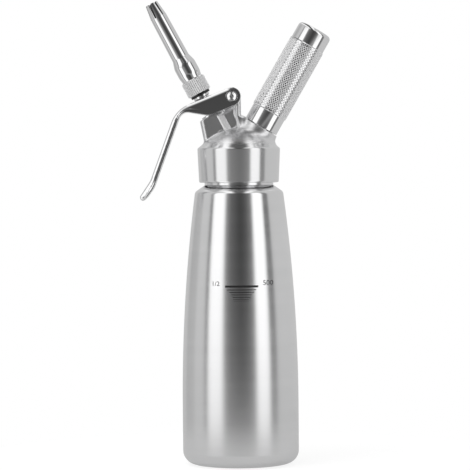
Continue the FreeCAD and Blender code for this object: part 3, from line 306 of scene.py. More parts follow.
def outline_distance(points: np.ndarray, outline: np.ndarray, shift: np.ndarray | None = None,
                     share: np.ndarray | None = None) -> np.ndarray:
    """Return the signed distance to a closed outline, which is negative inside.

    Args:
        points: places in the outline's plane, one per row.
        outline: the outline's corners.
        shift: optional move of each corner at a share of one.
        share: optional share of that move for each point.

    Returns:
        One distance for each point.
    """
    nearest = np.full(len(points), np.inf)
    inside = np.zeros(len(points), bool)
    px, py = points[:, 0], points[:, 1]
    count = len(outline)
    for i in range(count):
        ax, ay = outline[i]
        bx, by = outline[(i + 1) % count]
        if shift is not None and share is not None:
            ax, ay = ax + share * shift[i][0], ay + share * shift[i][1]
            bx, by = bx + share * shift[(i + 1) % count][0], by + share * shift[(i + 1) % count][1]
        ex, ey = bx - ax, by - ay
        wx, wy = px - ax, py - ay
        t = np.clip((wx * ex + wy * ey) / (ex * ex + ey * ey), 0, 1)
        nearest = np.minimum(nearest, (wx - t * ex) ** 2 + (wy - t * ey) ** 2)
        crosses = (ay > py) != (by > py)
        rise = np.where(np.abs(by - ay) < 1e-12, 1e-12, by - ay)
        inside ^= crosses & (px < ex * (py - ay) / rise + ax)
    return np.where(inside, -1.0, 1.0) * np.sqrt(nearest)


def path_distance(points: np.ndarray, path: np.ndarray) -> np.ndarray:
    """Return the distance of each point to an open path of straight pieces."""
    nearest = np.full(len(points), np.inf)
    for a, b in zip(path[:-1], path[1:]):
        edge, off = b - a, points - a
        t = np.clip(off @ edge / (edge @ edge), 0, 1)[:, None]
        nearest = np.minimum(nearest, ((off - t * edge) ** 2).sum(1))
    return np.sqrt(nearest)


def smooth_union(a: np.ndarray, b: np.ndarray, reach: float) -> np.ndarray:
    """Return the union of two fields with a fillet of about the given reach."""
    h = np.clip(0.5 + 0.5 * (b - a) / reach, 0, 1)
    return b + (a - b) * h - reach * h * (1 - h)


def smooth_cut(a: np.ndarray, b: np.ndarray, reach: float) -> np.ndarray:
    """Return field a without field b, with the edge rounded over the given reach."""
    return -smooth_union(-a, b, reach)


def slab(flat: np.ndarray, across: np.ndarray, half: float, edge: float | np.ndarray) -> np.ndarray:
    """Return the field of a plate with rounded edges.

    Args:
        flat: signed distance in the plate's plane.
        across: place across the plate.
        half: half thickness.
        edge: rounding of the edges.

    Returns:
        The plate's signed distance.
    """
    u, v = flat + edge, np.abs(across) - half + edge
    return np.hypot(np.maximum(u, 0), np.maximum(v, 0)) + np.minimum(np.maximum(u, v), 0) - edge


def rod(points: np.ndarray, radius: float, foot: float, top: float, edge: float = 0.0) -> np.ndarray:
    """Return the field of a rod along Z of a local frame."""
    flat = np.hypot(points[:, 0], points[:, 1]) - radius
    return slab(flat, points[:, 2] - (foot + top) / 2, (top - foot) / 2, edge)


def field_mesh(name: str, field: Field, axis: Axis, low: Point, high: Point,
               voxel: float) -> bpy.types.Object:
    """Return the surface of a distance field as a fine smooth mesh.

    Args:
        name: name of the piece.
        field: function that gives the signed distance of points in the local frame.
        axis: the local frame.
        low: lowest corner of the grid, in millimetres.
        high: highest corner of the grid.
        voxel: grid step.

    Returns:
        The object, whose normals come from the field.
    """
    block, batch, band = 4, 200000, 3 * voxel
    counts = [int(math.ceil((h - l) / voxel / block)) for l, h in zip(low, high)]
    centres = [l + (np.arange(n) + 0.5) * block * voxel for l, n in zip(low, counts)]
    coarse = np.stack(np.meshgrid(*centres, indexing="ij"), -1).reshape(-1, 3)
    reach = voxel * (block * math.sqrt(3) / 2 + 2.5)
    far = field(coarse)
    values = np.where(far < 0, -band, band).reshape(counts)
    grid = values.repeat(block, 0).repeat(block, 1).repeat(block, 2).astype(np.float32)
    near = np.argwhere(np.abs(far).reshape(counts) < reach)
    offsets = np.stack(np.meshgrid(*[np.arange(block)] * 3, indexing="ij"), -1).reshape(-1, 3)
    cells = (near[:, None, :] * block + offsets[None]).reshape(-1, 3)
    for part in np.array_split(cells, max(1, len(cells) // batch)):
        places = np.array(low) + (part + 0.5) * voxel
        grid[part[:, 0], part[:, 1], part[:, 2]] = np.clip(field(places), -band, band)
    volume = openvdb.FloatGrid(band)
    volume.copyFromArray(grid)
    points, quads = volume.convertToQuads(isovalue=0.0)
    points = np.array(low) + (np.asarray(points, float) + 0.5) * voxel
    quads = np.asarray(quads)
    passes, fine_step, normal_step, longest = 3, 0.02, 0.06, 0.35 * voxel
    for _ in range(passes):
        value, slope = field(points), gradient(field, points, fine_step)
        move = value[:, None] * slope / np.maximum((slope ** 2).sum(1), 0.25)[:, None]
        points = points - np.clip(move, -longest, longest)
    normals = gradient(field, points, normal_step)
    normals /= np.maximum(np.linalg.norm(normals, axis=1), 1e-9)[:, None]
    a, b, c = points[quads[:, 0]], points[quads[:, 1]], points[quads[:, 2]]
    facing = (np.cross(b - a, c - a) * normals[quads[:, 0]]).sum(1)
    if np.median(facing) < 0:
        quads = quads[:, ::-1]
    mesh = bpy.data.meshes.new(name)
    mesh.from_pydata((axis.to_world(points) * MM).tolist(), [], quads.tolist())
    mesh.shade_smooth()
    mesh.normals_split_custom_set_from_vertices((normals @ axis.matrix().T).tolist())
    return placed(name, mesh)


def gradient(field: Field, points: np.ndarray, step: float) -> np.ndarray:
    """Return the slope of a field at each point by central differences."""
    slopes = []
    for k in range(3):
        off = np.zeros(3)
        off[k] = step
        slopes.append((field(points + off) - field(points - off)) / (2 * step))
    return np.stack(slopes, 1)


# ---------------------------------------------------------------- node trees and finishes


class Tree:
    """A node tree, with short calls to add and join nodes."""

    def __init__(self, tree: bpy.types.NodeTree) -> None:
        """Start with an empty tree."""
        self.tree = tree
        self.tree.nodes.clear()

    def add(self, kind: str, inputs: dict[str | int, object] | None = None,
            **settings: object) -> bpy.types.Node:
        """Return a new node.

        Args:
            kind: the node's type, which may be without a leading ShaderNode.
            inputs: values or output sockets for its inputs, by name or number.
            **settings: properties of the node.

        Returns:
            The node.
        """
        node = self.tree.nodes.new(kind if "Node" in kind else "ShaderNode" + kind)
        for key, value in settings.items():
            setattr(node, key, value)
        for key, value in (inputs or {}).items():
            if isinstance(value, bpy.types.NodeSocket):
                self.tree.links.new(value, node.inputs[key])
            else:
                node.inputs[key].default_value = value
        return node

    def calc(self, kind: str, a: object, b: object = 0.0, c: object = 0.5) -> bpy.types.NodeSocket:
        """Return the result of a calculation on sockets or numbers."""
        return self.add("Math", {0: a, 1: b, 2: c}, operation=kind).outputs["Value"]

    def spread(self, value: bpy.types.NodeSocket, low: float, high: float, first: float = 0.0,
               last: float = 1.0) -> bpy.types.NodeSocket:
        """Return a value that goes from low to high while the one read goes from first to last."""
        return self.add("MapRange", {"Value": value, "From Min": first, "From Max": last, "To Min": low,
                                     "To Max": high}).outputs["Result"]

    def mix(self, share: bpy.types.NodeSocket, a: object, b: object) -> bpy.types.NodeSocket:
        """Return a colour between two colours."""
        return self.add("Mix", {"Factor": share, "A": a, "B": b}, data_type="RGBA").outputs["Result"]

    def ramp(self, factor: bpy.types.NodeSocket, stops: Sequence[tuple[float, float]],
             reach: float = 0.0) -> bpy.types.NodeSocket:
        """Return a grey ramp of a factor.

        Args:
            factor: the socket to read.
            stops: pairs of position and grey level.
            reach: size of the positions that stand for 0 and 1, or zero where they are those already.

        Returns:
            The ramp's colour socket.
        """
        node = self.add("ValToRGB", {"Fac": factor})
        bar = node.color_ramp
        while len(bar.elements) < len(stops):
            bar.elements.new(0.5)
        for element, (position, level) in zip(bar.elements, stops):
            element.position = (position + reach) / (2 * reach) if reach else position
            element.color = (level, level, level, 1.0)
        return node.outputs["Color"]


class Surface(Tree):
    """A new material's node tree, with the piece's own place to read."""

    def __init__(self, name: str) -> None:
        """Start the material."""
        self.material = bpy.data.materials.new(name)
        self.material.use_nodes = True
        super().__init__(self.material.node_tree)
        self.place = self.add("TexCoord").outputs["Object"]

    def noise(self, scale: float, detail: float = 2.0, roughness: float = 0.5,
              stretch: Point | None = None) -> bpy.types.NodeSocket:
        """Return a noise of the place, drawn out where a stretch is given."""
        place = self.place
        if stretch:
            place = self.add("Mapping", {"Vector": place, "Scale": stretch}).outputs["Vector"]
        return self.add("TexNoise", {"Vector": place, "Scale": scale, "Detail": detail,
                                     "Roughness": roughness}).outputs["Fac"]

    def tint(self, colour: Point, strength: bpy.types.NodeSocket) -> bpy.types.NodeSocket:
        """Return a colour times a strength."""
        return self.add("VectorMath", {0: colour, "Scale": strength}, operation="SCALE").outputs["Vector"]

    def bump(self, height: bpy.types.NodeSocket, strength: float, depth: float) -> bpy.types.NodeSocket:
        """Return the normal of a fine relief."""
        relief = self.add("Bump", {"Height": height, "Strength": strength, "Distance": depth})
        return relief.outputs["Normal"]

    def shaded(self, **inputs: object) -> bpy.types.Material:
        """Return the material with a principled shader; an input's name has _ for a space."""
        shader = self.add("BsdfPrincipled", {key.replace("_", " "): value for key, value in inputs.items()})
        return self.closed(shader.outputs["BSDF"])

    def closed(self, shader: bpy.types.NodeSocket) -> bpy.types.Material:
        """Return the material with a shader on its output."""
        self.add("OutputMaterial", {"Surface": shader})
        return self.material


class Grain(Enum):
    """How the marks of working run over a surface, as the stretch of a noise pattern."""

    NONE = (1.0, 1.0, 1.0)
    AROUND = (0.04, 0.04, 1.0)


@dataclass(frozen=True)
class SteelFinish:
    """Stainless steel: its colour, gloss, working marks and faint handling marks."""

    name: str
    colour: tuple[float, float, float] = (0.86, 0.86, 0.865)
    roughness: float = 0.06
    spread: float = 0.04
    grain: Grain = Grain.NONE
    grain_scale: float = 900.0
    grain_depth: float = 0.02
    satin: float = 0.0
    satin_low: float = 0.0
    satin_high: float = 0.0
    metal: float = 1.0

    def build(self) -> bpy.types.Material:
        """Return the material."""
        n = Surface(self.name)
        lines = n.noise(self.grain_scale, 3.0, 0.6, self.grain.value)
        marks = n.calc("ADD", lines, n.noise(38.0))
        dull, bright = 0.6, 1.4
        gloss = n.spread(marks, self.roughness, self.roughness + self.spread, dull, bright)
        if self.satin:
            height = n.add("SeparateXYZ", {"Vector": n.place}).outputs["Z"]
            zone = n.spread(height, 0.0, self.satin, self.satin_low * MM, self.satin_high * MM)
            gloss = n.calc("ADD", gloss, zone)
        colour = n.tint(self.colour, n.spread(marks, 0.97, 1.03, dull, bright))
        relief = n.bump(lines, self.grain_depth, 0.0002)
        return n.shaded(Base_Color=colour, Metallic=self.metal, Roughness=gloss, Normal=relief)


@dataclass(frozen=True)
class RubberFinish:
    """Moulded rubber with a fine matt skin."""

    name: str
    colour: tuple[float, float, float] = (0.012, 0.012, 0.013)
    roughness: float = 0.42

    def build(self) -> bpy.types.Material:
        """Return the material."""
        n = Surface(self.name)
        skin = n.noise(1400.0, 3.0)
        colour = n.tint(self.colour, n.spread(skin, 0.8, 1.3))
        gloss = n.spread(skin, self.roughness - 0.08, self.roughness + 0.12)
        return n.shaded(Base_Color=colour, Roughness=gloss, Normal=n.bump(skin, 0.15, 0.0001))


@dataclass(frozen=True)
class InkFinish:
    """Printed black ink, a little worn and uneven."""

    name: str

    def build(self) -> bpy.types.Material:
        """Return the material."""
        n = Surface(self.name)
        wear = n.noise(600.0, 4.0)
        colour = n.ramp(wear, [(0.3, 0.006), (0.75, 0.03)])
        return n.shaded(Base_Color=colour, Roughness=n.spread(wear, 0.3, 0.6))


class Slot(Enum):
    """The record's material slots."""

    BOTTLE = "bottle_steel"
    HEAD = "head_steel"
    TURNED = "turned_steel"
    POLISHED = "polished_steel"
    HOLDER = "holder_steel"
    CHARGER = "charger_steel"
    GASKET = "gasket_rubber"
    BLACK = "black_rubber"


class Finishes:
    """Every finish of the dispenser, built once and handed out by slot."""

    def __init__(self) -> None:
        """Build the materials."""
        steel = {
            Slot.BOTTLE: SteelFinish("brushed_bottle_steel", roughness=0.155, spread=0.035,
                                     grain=Grain.AROUND, grain_scale=220.0, grain_depth=0.0,
                                     satin=0.08, satin_low=175.0, satin_high=20.0),
            Slot.HEAD: SteelFinish("satin_head_steel", roughness=0.14, spread=0.05, grain_scale=1500.0,
                                   satin=0.16, satin_low=211.0, satin_high=215.0),
            Slot.TURNED: SteelFinish("turned_steel", roughness=0.09, spread=0.05, grain_scale=1800.0),
            Slot.POLISHED: SteelFinish("polished_lever_steel", roughness=0.025, spread=0.03,
                                       grain_depth=0.004),
            Slot.HOLDER: SteelFinish("holder_steel", roughness=0.07, spread=0.05, grain_depth=0.01),
            Slot.CHARGER: SteelFinish("charger_steel", (0.62, 0.62, 0.63), 0.22, 0.08, grain_scale=700.0),
        }
        self.by_slot = {slot: finish.build() for slot, finish in steel.items()}
        self.by_slot[Slot.GASKET] = RubberFinish("gasket_rubber", (0.5, 0.49, 0.46), 0.5).build()
        self.by_slot[Slot.BLACK] = RubberFinish("black_rubber").build()
        self.ink = InkFinish("printed_ink").build()
        self.fine_cut, self.groove, self.bore = (
            SteelFinish(name, colour, roughness, spread, grain_depth=0.0, metal=metal).build()
            for name, colour, roughness, spread, metal in (
                ("fine_cut_steel", (0.97, 0.97, 0.975), 0.5, 0.06, 0.35),
                # Dark grey steel that is painted shade in the grooves between the nut's ribs.
                ("grooved_steel", (0.4, 0.4, 0.4), 0.4, 0.1, 1.0),
                # Dark grey steel that is painted shade inside the tip's bore and on the sides of its slits.
                ("bore_painted_shade_steel", (0.22, 0.22, 0.22), 0.5, 0.1, 1.0)))

    def dress(self, piece: bpy.types.Object, body: str, slot: Slot, nodes: Sequence[str] = (),
              material: bpy.types.Material | None = None, painted: bool = False) -> bpy.types.Object:
        """Give a finished piece its slot's material unless it has its finishes, hide the nodes it replaces
        and attach it to its body.

        Args:
            piece: the finished piece.
            body: the CAD body that carries it.
            slot: the record's slot for its finish.
            nodes: CAD nodes that it replaces.
            material: a finish other than the slot's own.
            painted: whether the piece already has its finishes.

        Returns:
            The same piece.
        """
        if not painted:
            piece.data.materials.clear()
            piece.data.materials.append(material or self.by_slot[slot])
        if nodes:
            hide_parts(*nodes)
        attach(piece, body)
        LOG.info("%s rides on %s: %d faces", piece.name, body, len(piece.data.polygons))
        return piece


# ---------------------------------------------------------------- bottle


@dataclass
class Bottle:
    """The drawn steel bottle with its printed fill mark.

    A mark's row is its height, half its width, and X of its left and right end. A figure's row is
    its text, its size, X of its middle and the height of its base line.
    """

    radius: float = 38.49
    wall: float = 1.0
    base_wall: float = 1.4
    base_round: float = 9.0
    straight_height: float = 40.0
    shoulder_radius: float = 29.2
    shoulder_height: float = 180.5
    shoulder_round: float = 3.0
    neck_radius: float = 22.8
    neck_foot: float = 184.9
    rim_height: float = 206.0
    mark_proud: float = 0.03
    mark_sunk: float = 0.2
    figure_sunk: float = 0.15
    mark_columns: int = 24
    mark_rows: tuple[Point, ...] = (
        (119.2, 0.66, -9.6, 12.0), (117.0, 0.25, -8.6, 10.6), (115.4, 0.25, -6.9, 9.4),
        (113.8, 0.23, -5.7, 7.6), (112.2, 0.21, -4.8, 6.9), (110.8, 0.12, -4.5, 6.1),
        (109.7, 0.07, -4.2, 5.8))
    mark_figures: tuple[tuple[str, float, float, float], ...] = (
        ("500", 4.6, 18.4, 119.9), ("1/2", 4.2, -15.8, 119.6))

    def flank(self, inset: float) -> list[Point]:
        """Return points on the domed flank, from the straight wall's top to just below the shoulder.

        Args:
            inset: distance inwards from the outer surface.

        Returns:
            Points of radius and height.
        """
        fall, rise = self.radius - self.shoulder_radius, self.shoulder_height - self.straight_height
        sweep = (fall ** 2 + rise ** 2) / (2 * fall)
        centre, rows = self.radius - inset - sweep, 28
        heights = np.linspace(self.straight_height, self.shoulder_height - 4.0, rows).tolist()
        return [(centre + math.sqrt(sweep ** 2 - (h - self.straight_height) ** 2), h) for h in heights]

    def outline(self) -> np.ndarray:
        """Return the bottle's wall as a closed outline of radius and height."""
        bore = self.neck_radius - self.wall
        return rounded([
            (0.0, 0.0), (self.radius, 0.0, self.base_round), *self.flank(0.0),
            (self.shoulder_radius, self.shoulder_height, self.shoulder_round),
            (self.neck_radius, self.neck_foot, 0.4), (self.neck_radius, self.rim_height, 0.3),
            (bore, self.rim_height, 0.3), (bore, self.neck_foot - 0.55, 1.2),
            (self.shoulder_radius - 0.92, self.shoulder_height - 0.6, self.shoulder_round - self.wall),
            *reversed(self.flank(self.wall)),
            (self.radius - self.wall, self.base_wall, self.base_round - self.base_wall),
            (0.0, self.base_wall),
        ], 14)

    def radius_at(self, height: float) -> float:
        """Return the outer radius at a height of the tapering flank."""
        flank = np.array(self.flank(0.0))
        return float(np.interp(height, flank[:, 1], flank[:, 0]))

    def strip(self, low: float, high: float, left: float, right: float) -> bpy.types.Object:
        """Return a thin printed strip on the front of the flank.

        Args:
            low: height of its lower edge.
            high: height of its upper edge.
            left: its left end, as X.
            right: its right end, as X.

        Returns:
            The strip, as an object.
        """
        rows = []
        for push, height in ((self.mark_proud, low), (self.mark_proud, high), (-self.mark_sunk, high),
                             (-self.mark_sunk, low)):
            far = self.radius_at(height) + push
            angle = np.arcsin(np.linspace(left, right, self.mark_columns + 1) / far)
            rows.append(around_z(far, angle - math.pi / 2, height))
        return mesh_object("mark", *swept(rows))

    def figures(self, text: str, size: float, centre: float, height: float) -> bpy.types.Object:
        """Return plain printed figures that follow the flank.

        Args:
            text: the figures.
            size: their height in millimetres.
            centre: X of their middle.
            height: height of their base line.

        Returns:
            A mesh object of thin raised figures.
        """
        curve = bpy.data.curves.new("figures", "FONT")
        curve.body = text
        curve.size = size
        curve.align_x = "CENTER"
        curve.extrude = 0.1
        curve.resolution_u = 6
        source = placed("figures", curve)
        mesh = bpy.data.meshes.new_from_object(source)
        bpy.data.objects.remove(source)
        co = np.array([v.co for v in mesh.vertices], float)
        heights = height + co[:, 1]
        push = np.where(co[:, 2] > 0, self.mark_proud, -self.figure_sunk)
        far = np.array([self.radius_at(h) for h in heights]) + push
        angle = np.arcsin((centre + co[:, 0]) / far)
        points = around_z(far, angle - math.pi / 2, heights)
        return mesh_object("figures", points, [tuple(p.vertices) for p in mesh.polygons])

    def build(self, finishes: Finishes) -> None:
        """Make the bottle and its fill mark.

        Args:
            finishes: the dispenser's finishes.
        """
        body = lathe("bottle_shell", self.outline(), UPRIGHT, 256)
        finishes.dress(body, "bottle", Slot.BOTTLE, ["bottle"])
        marks = [self.strip(z - half, z + half, left, right) for z, half, left, right in self.mark_rows]
        marks += [self.figures(*row) for row in self.mark_figures]
        finishes.dress(joined("fill_mark", marks), "bottle", Slot.BLACK, material=finishes.ink)


# ---------------------------------------------------------------- head


@dataclass
class Head:
    """The cast and turned head: collar, dome, valve boss, lever lug and charger boss.

    A rod is written as its radius, foot, top and edge rounding along its own axis.
    """

    voxel: float = 0.42
    half: float = 7.0
    boss_edge: float = 3.0
    lug_edge: float = 2.2
    fillet: float = 1.8
    charger_fillet: float = 4.2
    boss_foot: float = 12.0
    boss_top: float = 37.8
    boss_foot_half: float = 16.6
    boss_top_half: float = 8.8
    web_half: float = 4.0
    lug_side: float = 7.5
    crown: float = 4.0
    charger_boss: Point = (12.4, 12.0, 29.1, 0.4)
    spigot: Point = (9.0, 27.3, 37.7, 0.3)
    valve_seat: Point = (7.4, 14.0, 26.0)
    charger_seat: Point = (7.0, 17.0, 25.0)
    valve_bores: tuple[Point, ...] = ((5.6, 23.0, 45.0), (4.0, 8.0, 24.0))
    charger_bores: tuple[Point, ...] = ((4.65, 19.0, 45.0), (3.6, 12.0, 20.0))

    def __post_init__(self) -> None:
        """Work out the outlines that the field reads."""
        dome = arc((0.0, 189.9), 32.6, 43.6, 90.0, 16)
        rim = rounded([(24.9, 186.6, 0.2), (26.38, 186.6, 1.2), (27.4, 209.2, 1.2), (23.61, 212.39, 0.3),
                       (23.0, 212.99)], 6)[:-1]
        self.collar = np.vstack([rim, np.array(dome), np.array([(0.0, 186.6)])])
        self.hollow = np.array([(0.0, 180.0), (24.7, 180.0), (24.7, 208.2), (20.6, 208.2), (20.6, 209.0),
                                *arc((0.0, 184.0), 33.5, 52.0, 90.0, 10)])
        relief = math.radians(LEVER_LEAN + LEVER_STROKE + 1.0)
        slope = math.tan(relief - math.radians(VALVE_LEAN))
        left, crown = self.lug_side, self.crown
        tangent = self.in_valve(PIVOT_X - crown * math.sin(relief), PIVOT_Z + crown * math.cos(relief))
        front = [(4.7, 216.5), (4.7, 229.0), (1.7, 231.4), (1.7, 241.3), (-0.2, 246.6),
                 (PIVOT_X, PIVOT_Z + crown)]
        self.lug = np.array([(left, self.boss_foot), *(self.in_valve(*place) for place in front), tangent,
                             (left, tangent[1] - (tangent[0] - left) * slope)])
        floor = [(0.8, 219.5), (-1.6, 228.0), (-3.2, 231.4), (-3.2, 235.0)]
        brim = [(2.9, 217.5), (0.2, 226.1), (-1.1, 230.4), (-1.1, 238.0)]
        self.pocket_floor = np.array([(7.2, 21.0), *(self.in_valve(*place) for place in floor), (7.2, 34.0)])
        self.pocket_brim = np.array([(2.8, 21.0), *(self.in_valve(*place) for place in brim), (2.8, 35.5)])

    @staticmethod
    def in_valve(x: float, z: float) -> tuple[float, float]:
        """Return a place on the plane of symmetry as seen along the valve axis."""
        c, s = math.cos(math.radians(VALVE_LEAN)), math.sin(math.radians(VALVE_LEAN))
        return x * c + (z - CROSSING) * s, (z - CROSSING) * c - x * s

    def upright(self, p: np.ndarray, v: np.ndarray) -> np.ndarray:
        """Return the signed distance of the valve boss and the lever lug with their pockets.

        Args:
            p: places in the row frame, in millimetres.
            v: the same places in the valve's frame.

        Returns:
            One distance for each place.
        """
        lean = (self.boss_foot_half - self.boss_top_half) / (self.boss_top - self.boss_foot)
        side = np.abs(v[:, 0]) - self.boss_foot_half + lean * (v[:, 2] - self.boss_foot)
        boss = slab(side / math.hypot(1, lean), p[:, 1], self.half, self.boss_edge)
        boss = smooth_cut(boss, self.boss_top - v[:, 2], 0.7)
        boss = np.maximum(boss, self.boss_foot - v[:, 2])
        lug = slab(outline_distance(v[:, [0, 2]], self.lug), p[:, 1], self.half, self.lug_edge)
        deep = np.abs(p[:, 1]) - self.web_half
        pocket = outline_distance(v[:, [0, 2]], self.pocket_floor, self.pocket_brim - self.pocket_floor,
                                  np.clip(deep / (self.half - self.web_half), 0, 1.3))
        return smooth_cut(smooth_union(boss, lug, 0.8), np.maximum(pocket, -deep), 0.5)

    def field(self, p: np.ndarray) -> np.ndarray:
        """Return the head's signed distance.

        Args:
            p: places in the row frame, in millimetres.

        Returns:
            One distance for each place.
        """
        turned = np.stack([np.hypot(p[:, 0], p[:, 1]), p[:, 2]], 1)
        v, c = VALVE.to_local(p), CHARGER.to_local(p)
        whole = smooth_union(outline_distance(turned, self.collar), self.upright(p, v), self.fillet)
        whole = smooth_union(whole, rod(c, *self.charger_boss), self.charger_fillet)
        whole = np.maximum(whole, -outline_distance(turned, self.hollow))
        inside = [rod(v, *self.valve_seat), rod(c, *self.charger_seat), rod(c, *self.spigot)]
        bores = [rod(v, *bore) for bore in self.valve_bores] + [rod(c, *bore) for bore in self.charger_bores]
        bores.append(np.hypot(p[:, 0] - PIVOT_X, p[:, 2] - PIVOT_Z) - PIVOT_BORE)
        return np.maximum(np.minimum.reduce([whole, *inside]), -np.minimum.reduce(bores))

    def build(self, finishes: Finishes) -> None:
        """Make the head with the threads of its spigot.

        Args:
            finishes: the dispenser's finishes.
        """
        low, high = (-29, -28.6, 184.6), (29, 28.6, 250)
        solid = field_mesh("head_casting", self.field, UPRIGHT, low, high, self.voxel)
        finishes.dress(solid, "head", Slot.HEAD, ["head"])
        ridges = []
        for start in (0.0, 180.0):
            points, faces = helix_ridge(radius=self.spigot[0], foot=30.5, depth=0.6, width=1.0, lead=3.0,
                                        turns=2.0, first=start)
            ridges.append(mesh_object("ridge", CHARGER.to_world(points), faces))
        finishes.dress(joined("charger_thread", ridges), "head", Slot.HEAD)


# ---------------------------------------------------------------- lever


@dataclass
class Lever:
    """The polished lever, its pivot screw and the cap nut.

    The slot for the stem is its place along the lever, half its straight length and its radius.
    """

    voxel: float = 0.42
    half_width: float = 9.0
    channel_half: float = 7.2
    channel_end: float = -28.5
    channel_roof: float = 4.3
    inner_edge: float = 0.25
    eye_radius: float = 6.1
    bend_x: float = -37.3
    handle_turn: float = 47.8
    handle_length: float = 50.0
    handle_thick: float = 4.0
    flare_turn: float = 14.0
    flare_length: float = 13.0
    facet_turn: float = 25.0
    facet_reach: float = 2.1
    flare_reach: float = 5.0
    rim_round: float = 1.5
    stem_slot: Point = (-17.6, 0.7, 5.7)
    recess_radius: float = 3.6
    recess_depth: float = 0.7

    def __post_init__(self) -> None:
        """Work out the lever's side outline."""
        turn, flare = math.radians(self.handle_turn), math.radians(self.handle_turn - self.flare_turn)
        h, f = (-np.array([math.cos(angle), math.sin(angle)]) for angle in (turn, flare))
        f_side, h_side = np.array([-f[1], f[0]]), np.array([-h[1], h[0]])
        bend = np.array([self.bend_x, self.eye_radius])
        start = bend + self.handle_length * h
        end = start + self.flare_length * f
        nose = start + (self.flare_length + 2.1) * f + 3.5 * f_side
        heel = start + (self.flare_length - 2.9) * f + 4.5 * f_side
        inner = bend + self.handle_thick * h_side
        top = [(0.0, self.eye_radius), (*bend, 21.0), (*start, 15.0)]
        under = [(*(inner + (self.handle_length + 3.8) * h), 18.0), (*(inner + 1.2 * h), 6.0),
                 (-31.0, 1.6, 9.0), (-18.4, -self.eye_radius, 9.0), (0.0, -self.eye_radius)]
        eye = arc((0.0, 0.0), self.eye_radius, -90.0, 90.0, 32)[1:-1]
        self.outline = np.vstack([
            rounded([*top, (*end, 2.0), (*nose, 1.7), (*heel, 4.0), *under], 10), np.array(eye)])
        self.outer = rounded([*top, (*end, 0.5), (*nose, 0.0)], 10)
        self.inner = rounded([(*heel, 0.0), *under], 10)

    def field(self, p: np.ndarray) -> np.ndarray:
        """Return the lever's signed distance.

        Args:
            p: places in the lever's frame, in millimetres.

        Returns:
            One distance for each place.
        """
        x, across, z = p[:, 0], np.abs(p[:, 1]), p[:, 2]
        flat = outline_distance(p[:, [0, 2]], self.outline)
        outer, inner = (path_distance(p[:, [0, 2]], path) for path in (self.outer, self.inner))
        share = np.clip(3.0 * inner / (inner + outer + 1e-6) - 0.6, 0, 1) * np.clip((4.0 - x) / 5.0, 0, 1)
        plain = slab(flat, across, self.half_width, self.inner_edge)
        solid = plain + (self.forged_edge(flat, x, across) - plain) * share * share * (3 - 2 * share)
        channel = [self.channel_end - x, z - self.channel_roof, across - self.channel_half]
        solid = smooth_cut(solid, np.maximum.reduce(channel), 0.5)
        slot_x, slot_half, slot_radius = self.stem_slot
        along = np.maximum(np.abs(x - slot_x) - slot_half, 0)
        solid = smooth_cut(solid, np.maximum(np.hypot(along, across) - slot_radius, -z), 0.4)
        away = np.hypot(x, z)
        solid = np.maximum(solid, PIVOT_BORE - away)
        recess = np.maximum(away - self.recess_radius, self.half_width - self.recess_depth - across)
        return smooth_cut(solid, recess, 0.12)

    def forged_edge(self, flat: np.ndarray, x: np.ndarray, across: np.ndarray) -> np.ndarray:
        """Return the field of the lever's plate with a wide facet and a round rim.

        Args:
            flat: signed distance in the lever's side plane.
            x: place along the lever.
            across: distance from its middle plane.

        Returns:
            One distance for each place.
        """
        sine, cosine = math.sin(math.radians(self.facet_turn)), math.cos(math.radians(self.facet_turn))
        over = across - self.half_width
        flare_start, flare_grown = -68.0, 11.0
        grow = np.clip((flare_start - x) / flare_grown, 0, 1)
        reach = self.facet_reach + (self.flare_reach - self.facet_reach) * grow
        facet = (flat + reach) * sine + over * cosine
        width = self.rim_round * (1 - sine)
        sunk = (reach - width) * sine / cosine + self.rim_round * cosine
        a, b = flat + self.rim_round, over + sunk
        rim = np.hypot(np.maximum(a, 0), np.maximum(b, 0)) - self.rim_round
        side = np.maximum(-smooth_union(-facet, -over, 0.4), flat)
        return np.where((a > b * sine / cosine) & (b > 0), rim, side)

    def screw_field(self, p: np.ndarray) -> np.ndarray:
        """Return the screw's signed distance, in the pivot's frame."""
        head = rod(p, 3.1, 9.15, 10.6, 0.2)
        cone = (np.hypot(p[:, 0], p[:, 1]) - 1.3) * 0.42 + (p[:, 2] - 10.6) * 0.907
        head = smooth_cut(head, -cone, 0.12)
        slot_turn, slot_half, slot_floor = 0.1, 0.42, 9.8
        aside = np.abs(p[:, 0] * math.cos(slot_turn) + p[:, 1] * math.sin(slot_turn)) - slot_half
        slot = np.maximum(aside, slot_floor - p[:, 2])
        return np.maximum(smooth_cut(head, slot, 0.12), -slot)

    def build(self, finishes: Finishes) -> None:
        """Make the lever, the screw and the nut.

        Args:
            finishes: the dispenser's finishes.
        """
        low, high = (-88, -9.9, -46), (7.5, 9.9, 7.5)
        solid = field_mesh("lever_forging", self.field, LEVER, low, high, self.voxel)
        finishes.dress(solid, "lever", Slot.POLISHED, ["lever"])
        head = field_mesh("screw_head", self.screw_field, PIVOT, (-3.8, -3.8, 8.6), (3.8, 3.8, 11.4), 0.12)
        shank = lathe("shank", [(0, -10.5), (2.19, -10.5), (2.19, 9.3), (0, 9.3)], PIVOT, 48)
        finishes.dress(joined("slotted_screw", [head, shank]), "head", Slot.TURNED, ["pivot_screw"])
        dome = rounded([
            (0, -11.49), (3.09, -11.49, 0.6), (3.09, -9.11), (2.2, -9.11), (2.2, -10.5), (0, -10.5)], 6)
        cap = lathe("cap_nut_dome", dome, PIVOT, 64)
        finishes.dress(cap, "head", Slot.TURNED, ["pivot_nut"])


# ---------------------------------------------------------------- pieces repeated around an axis


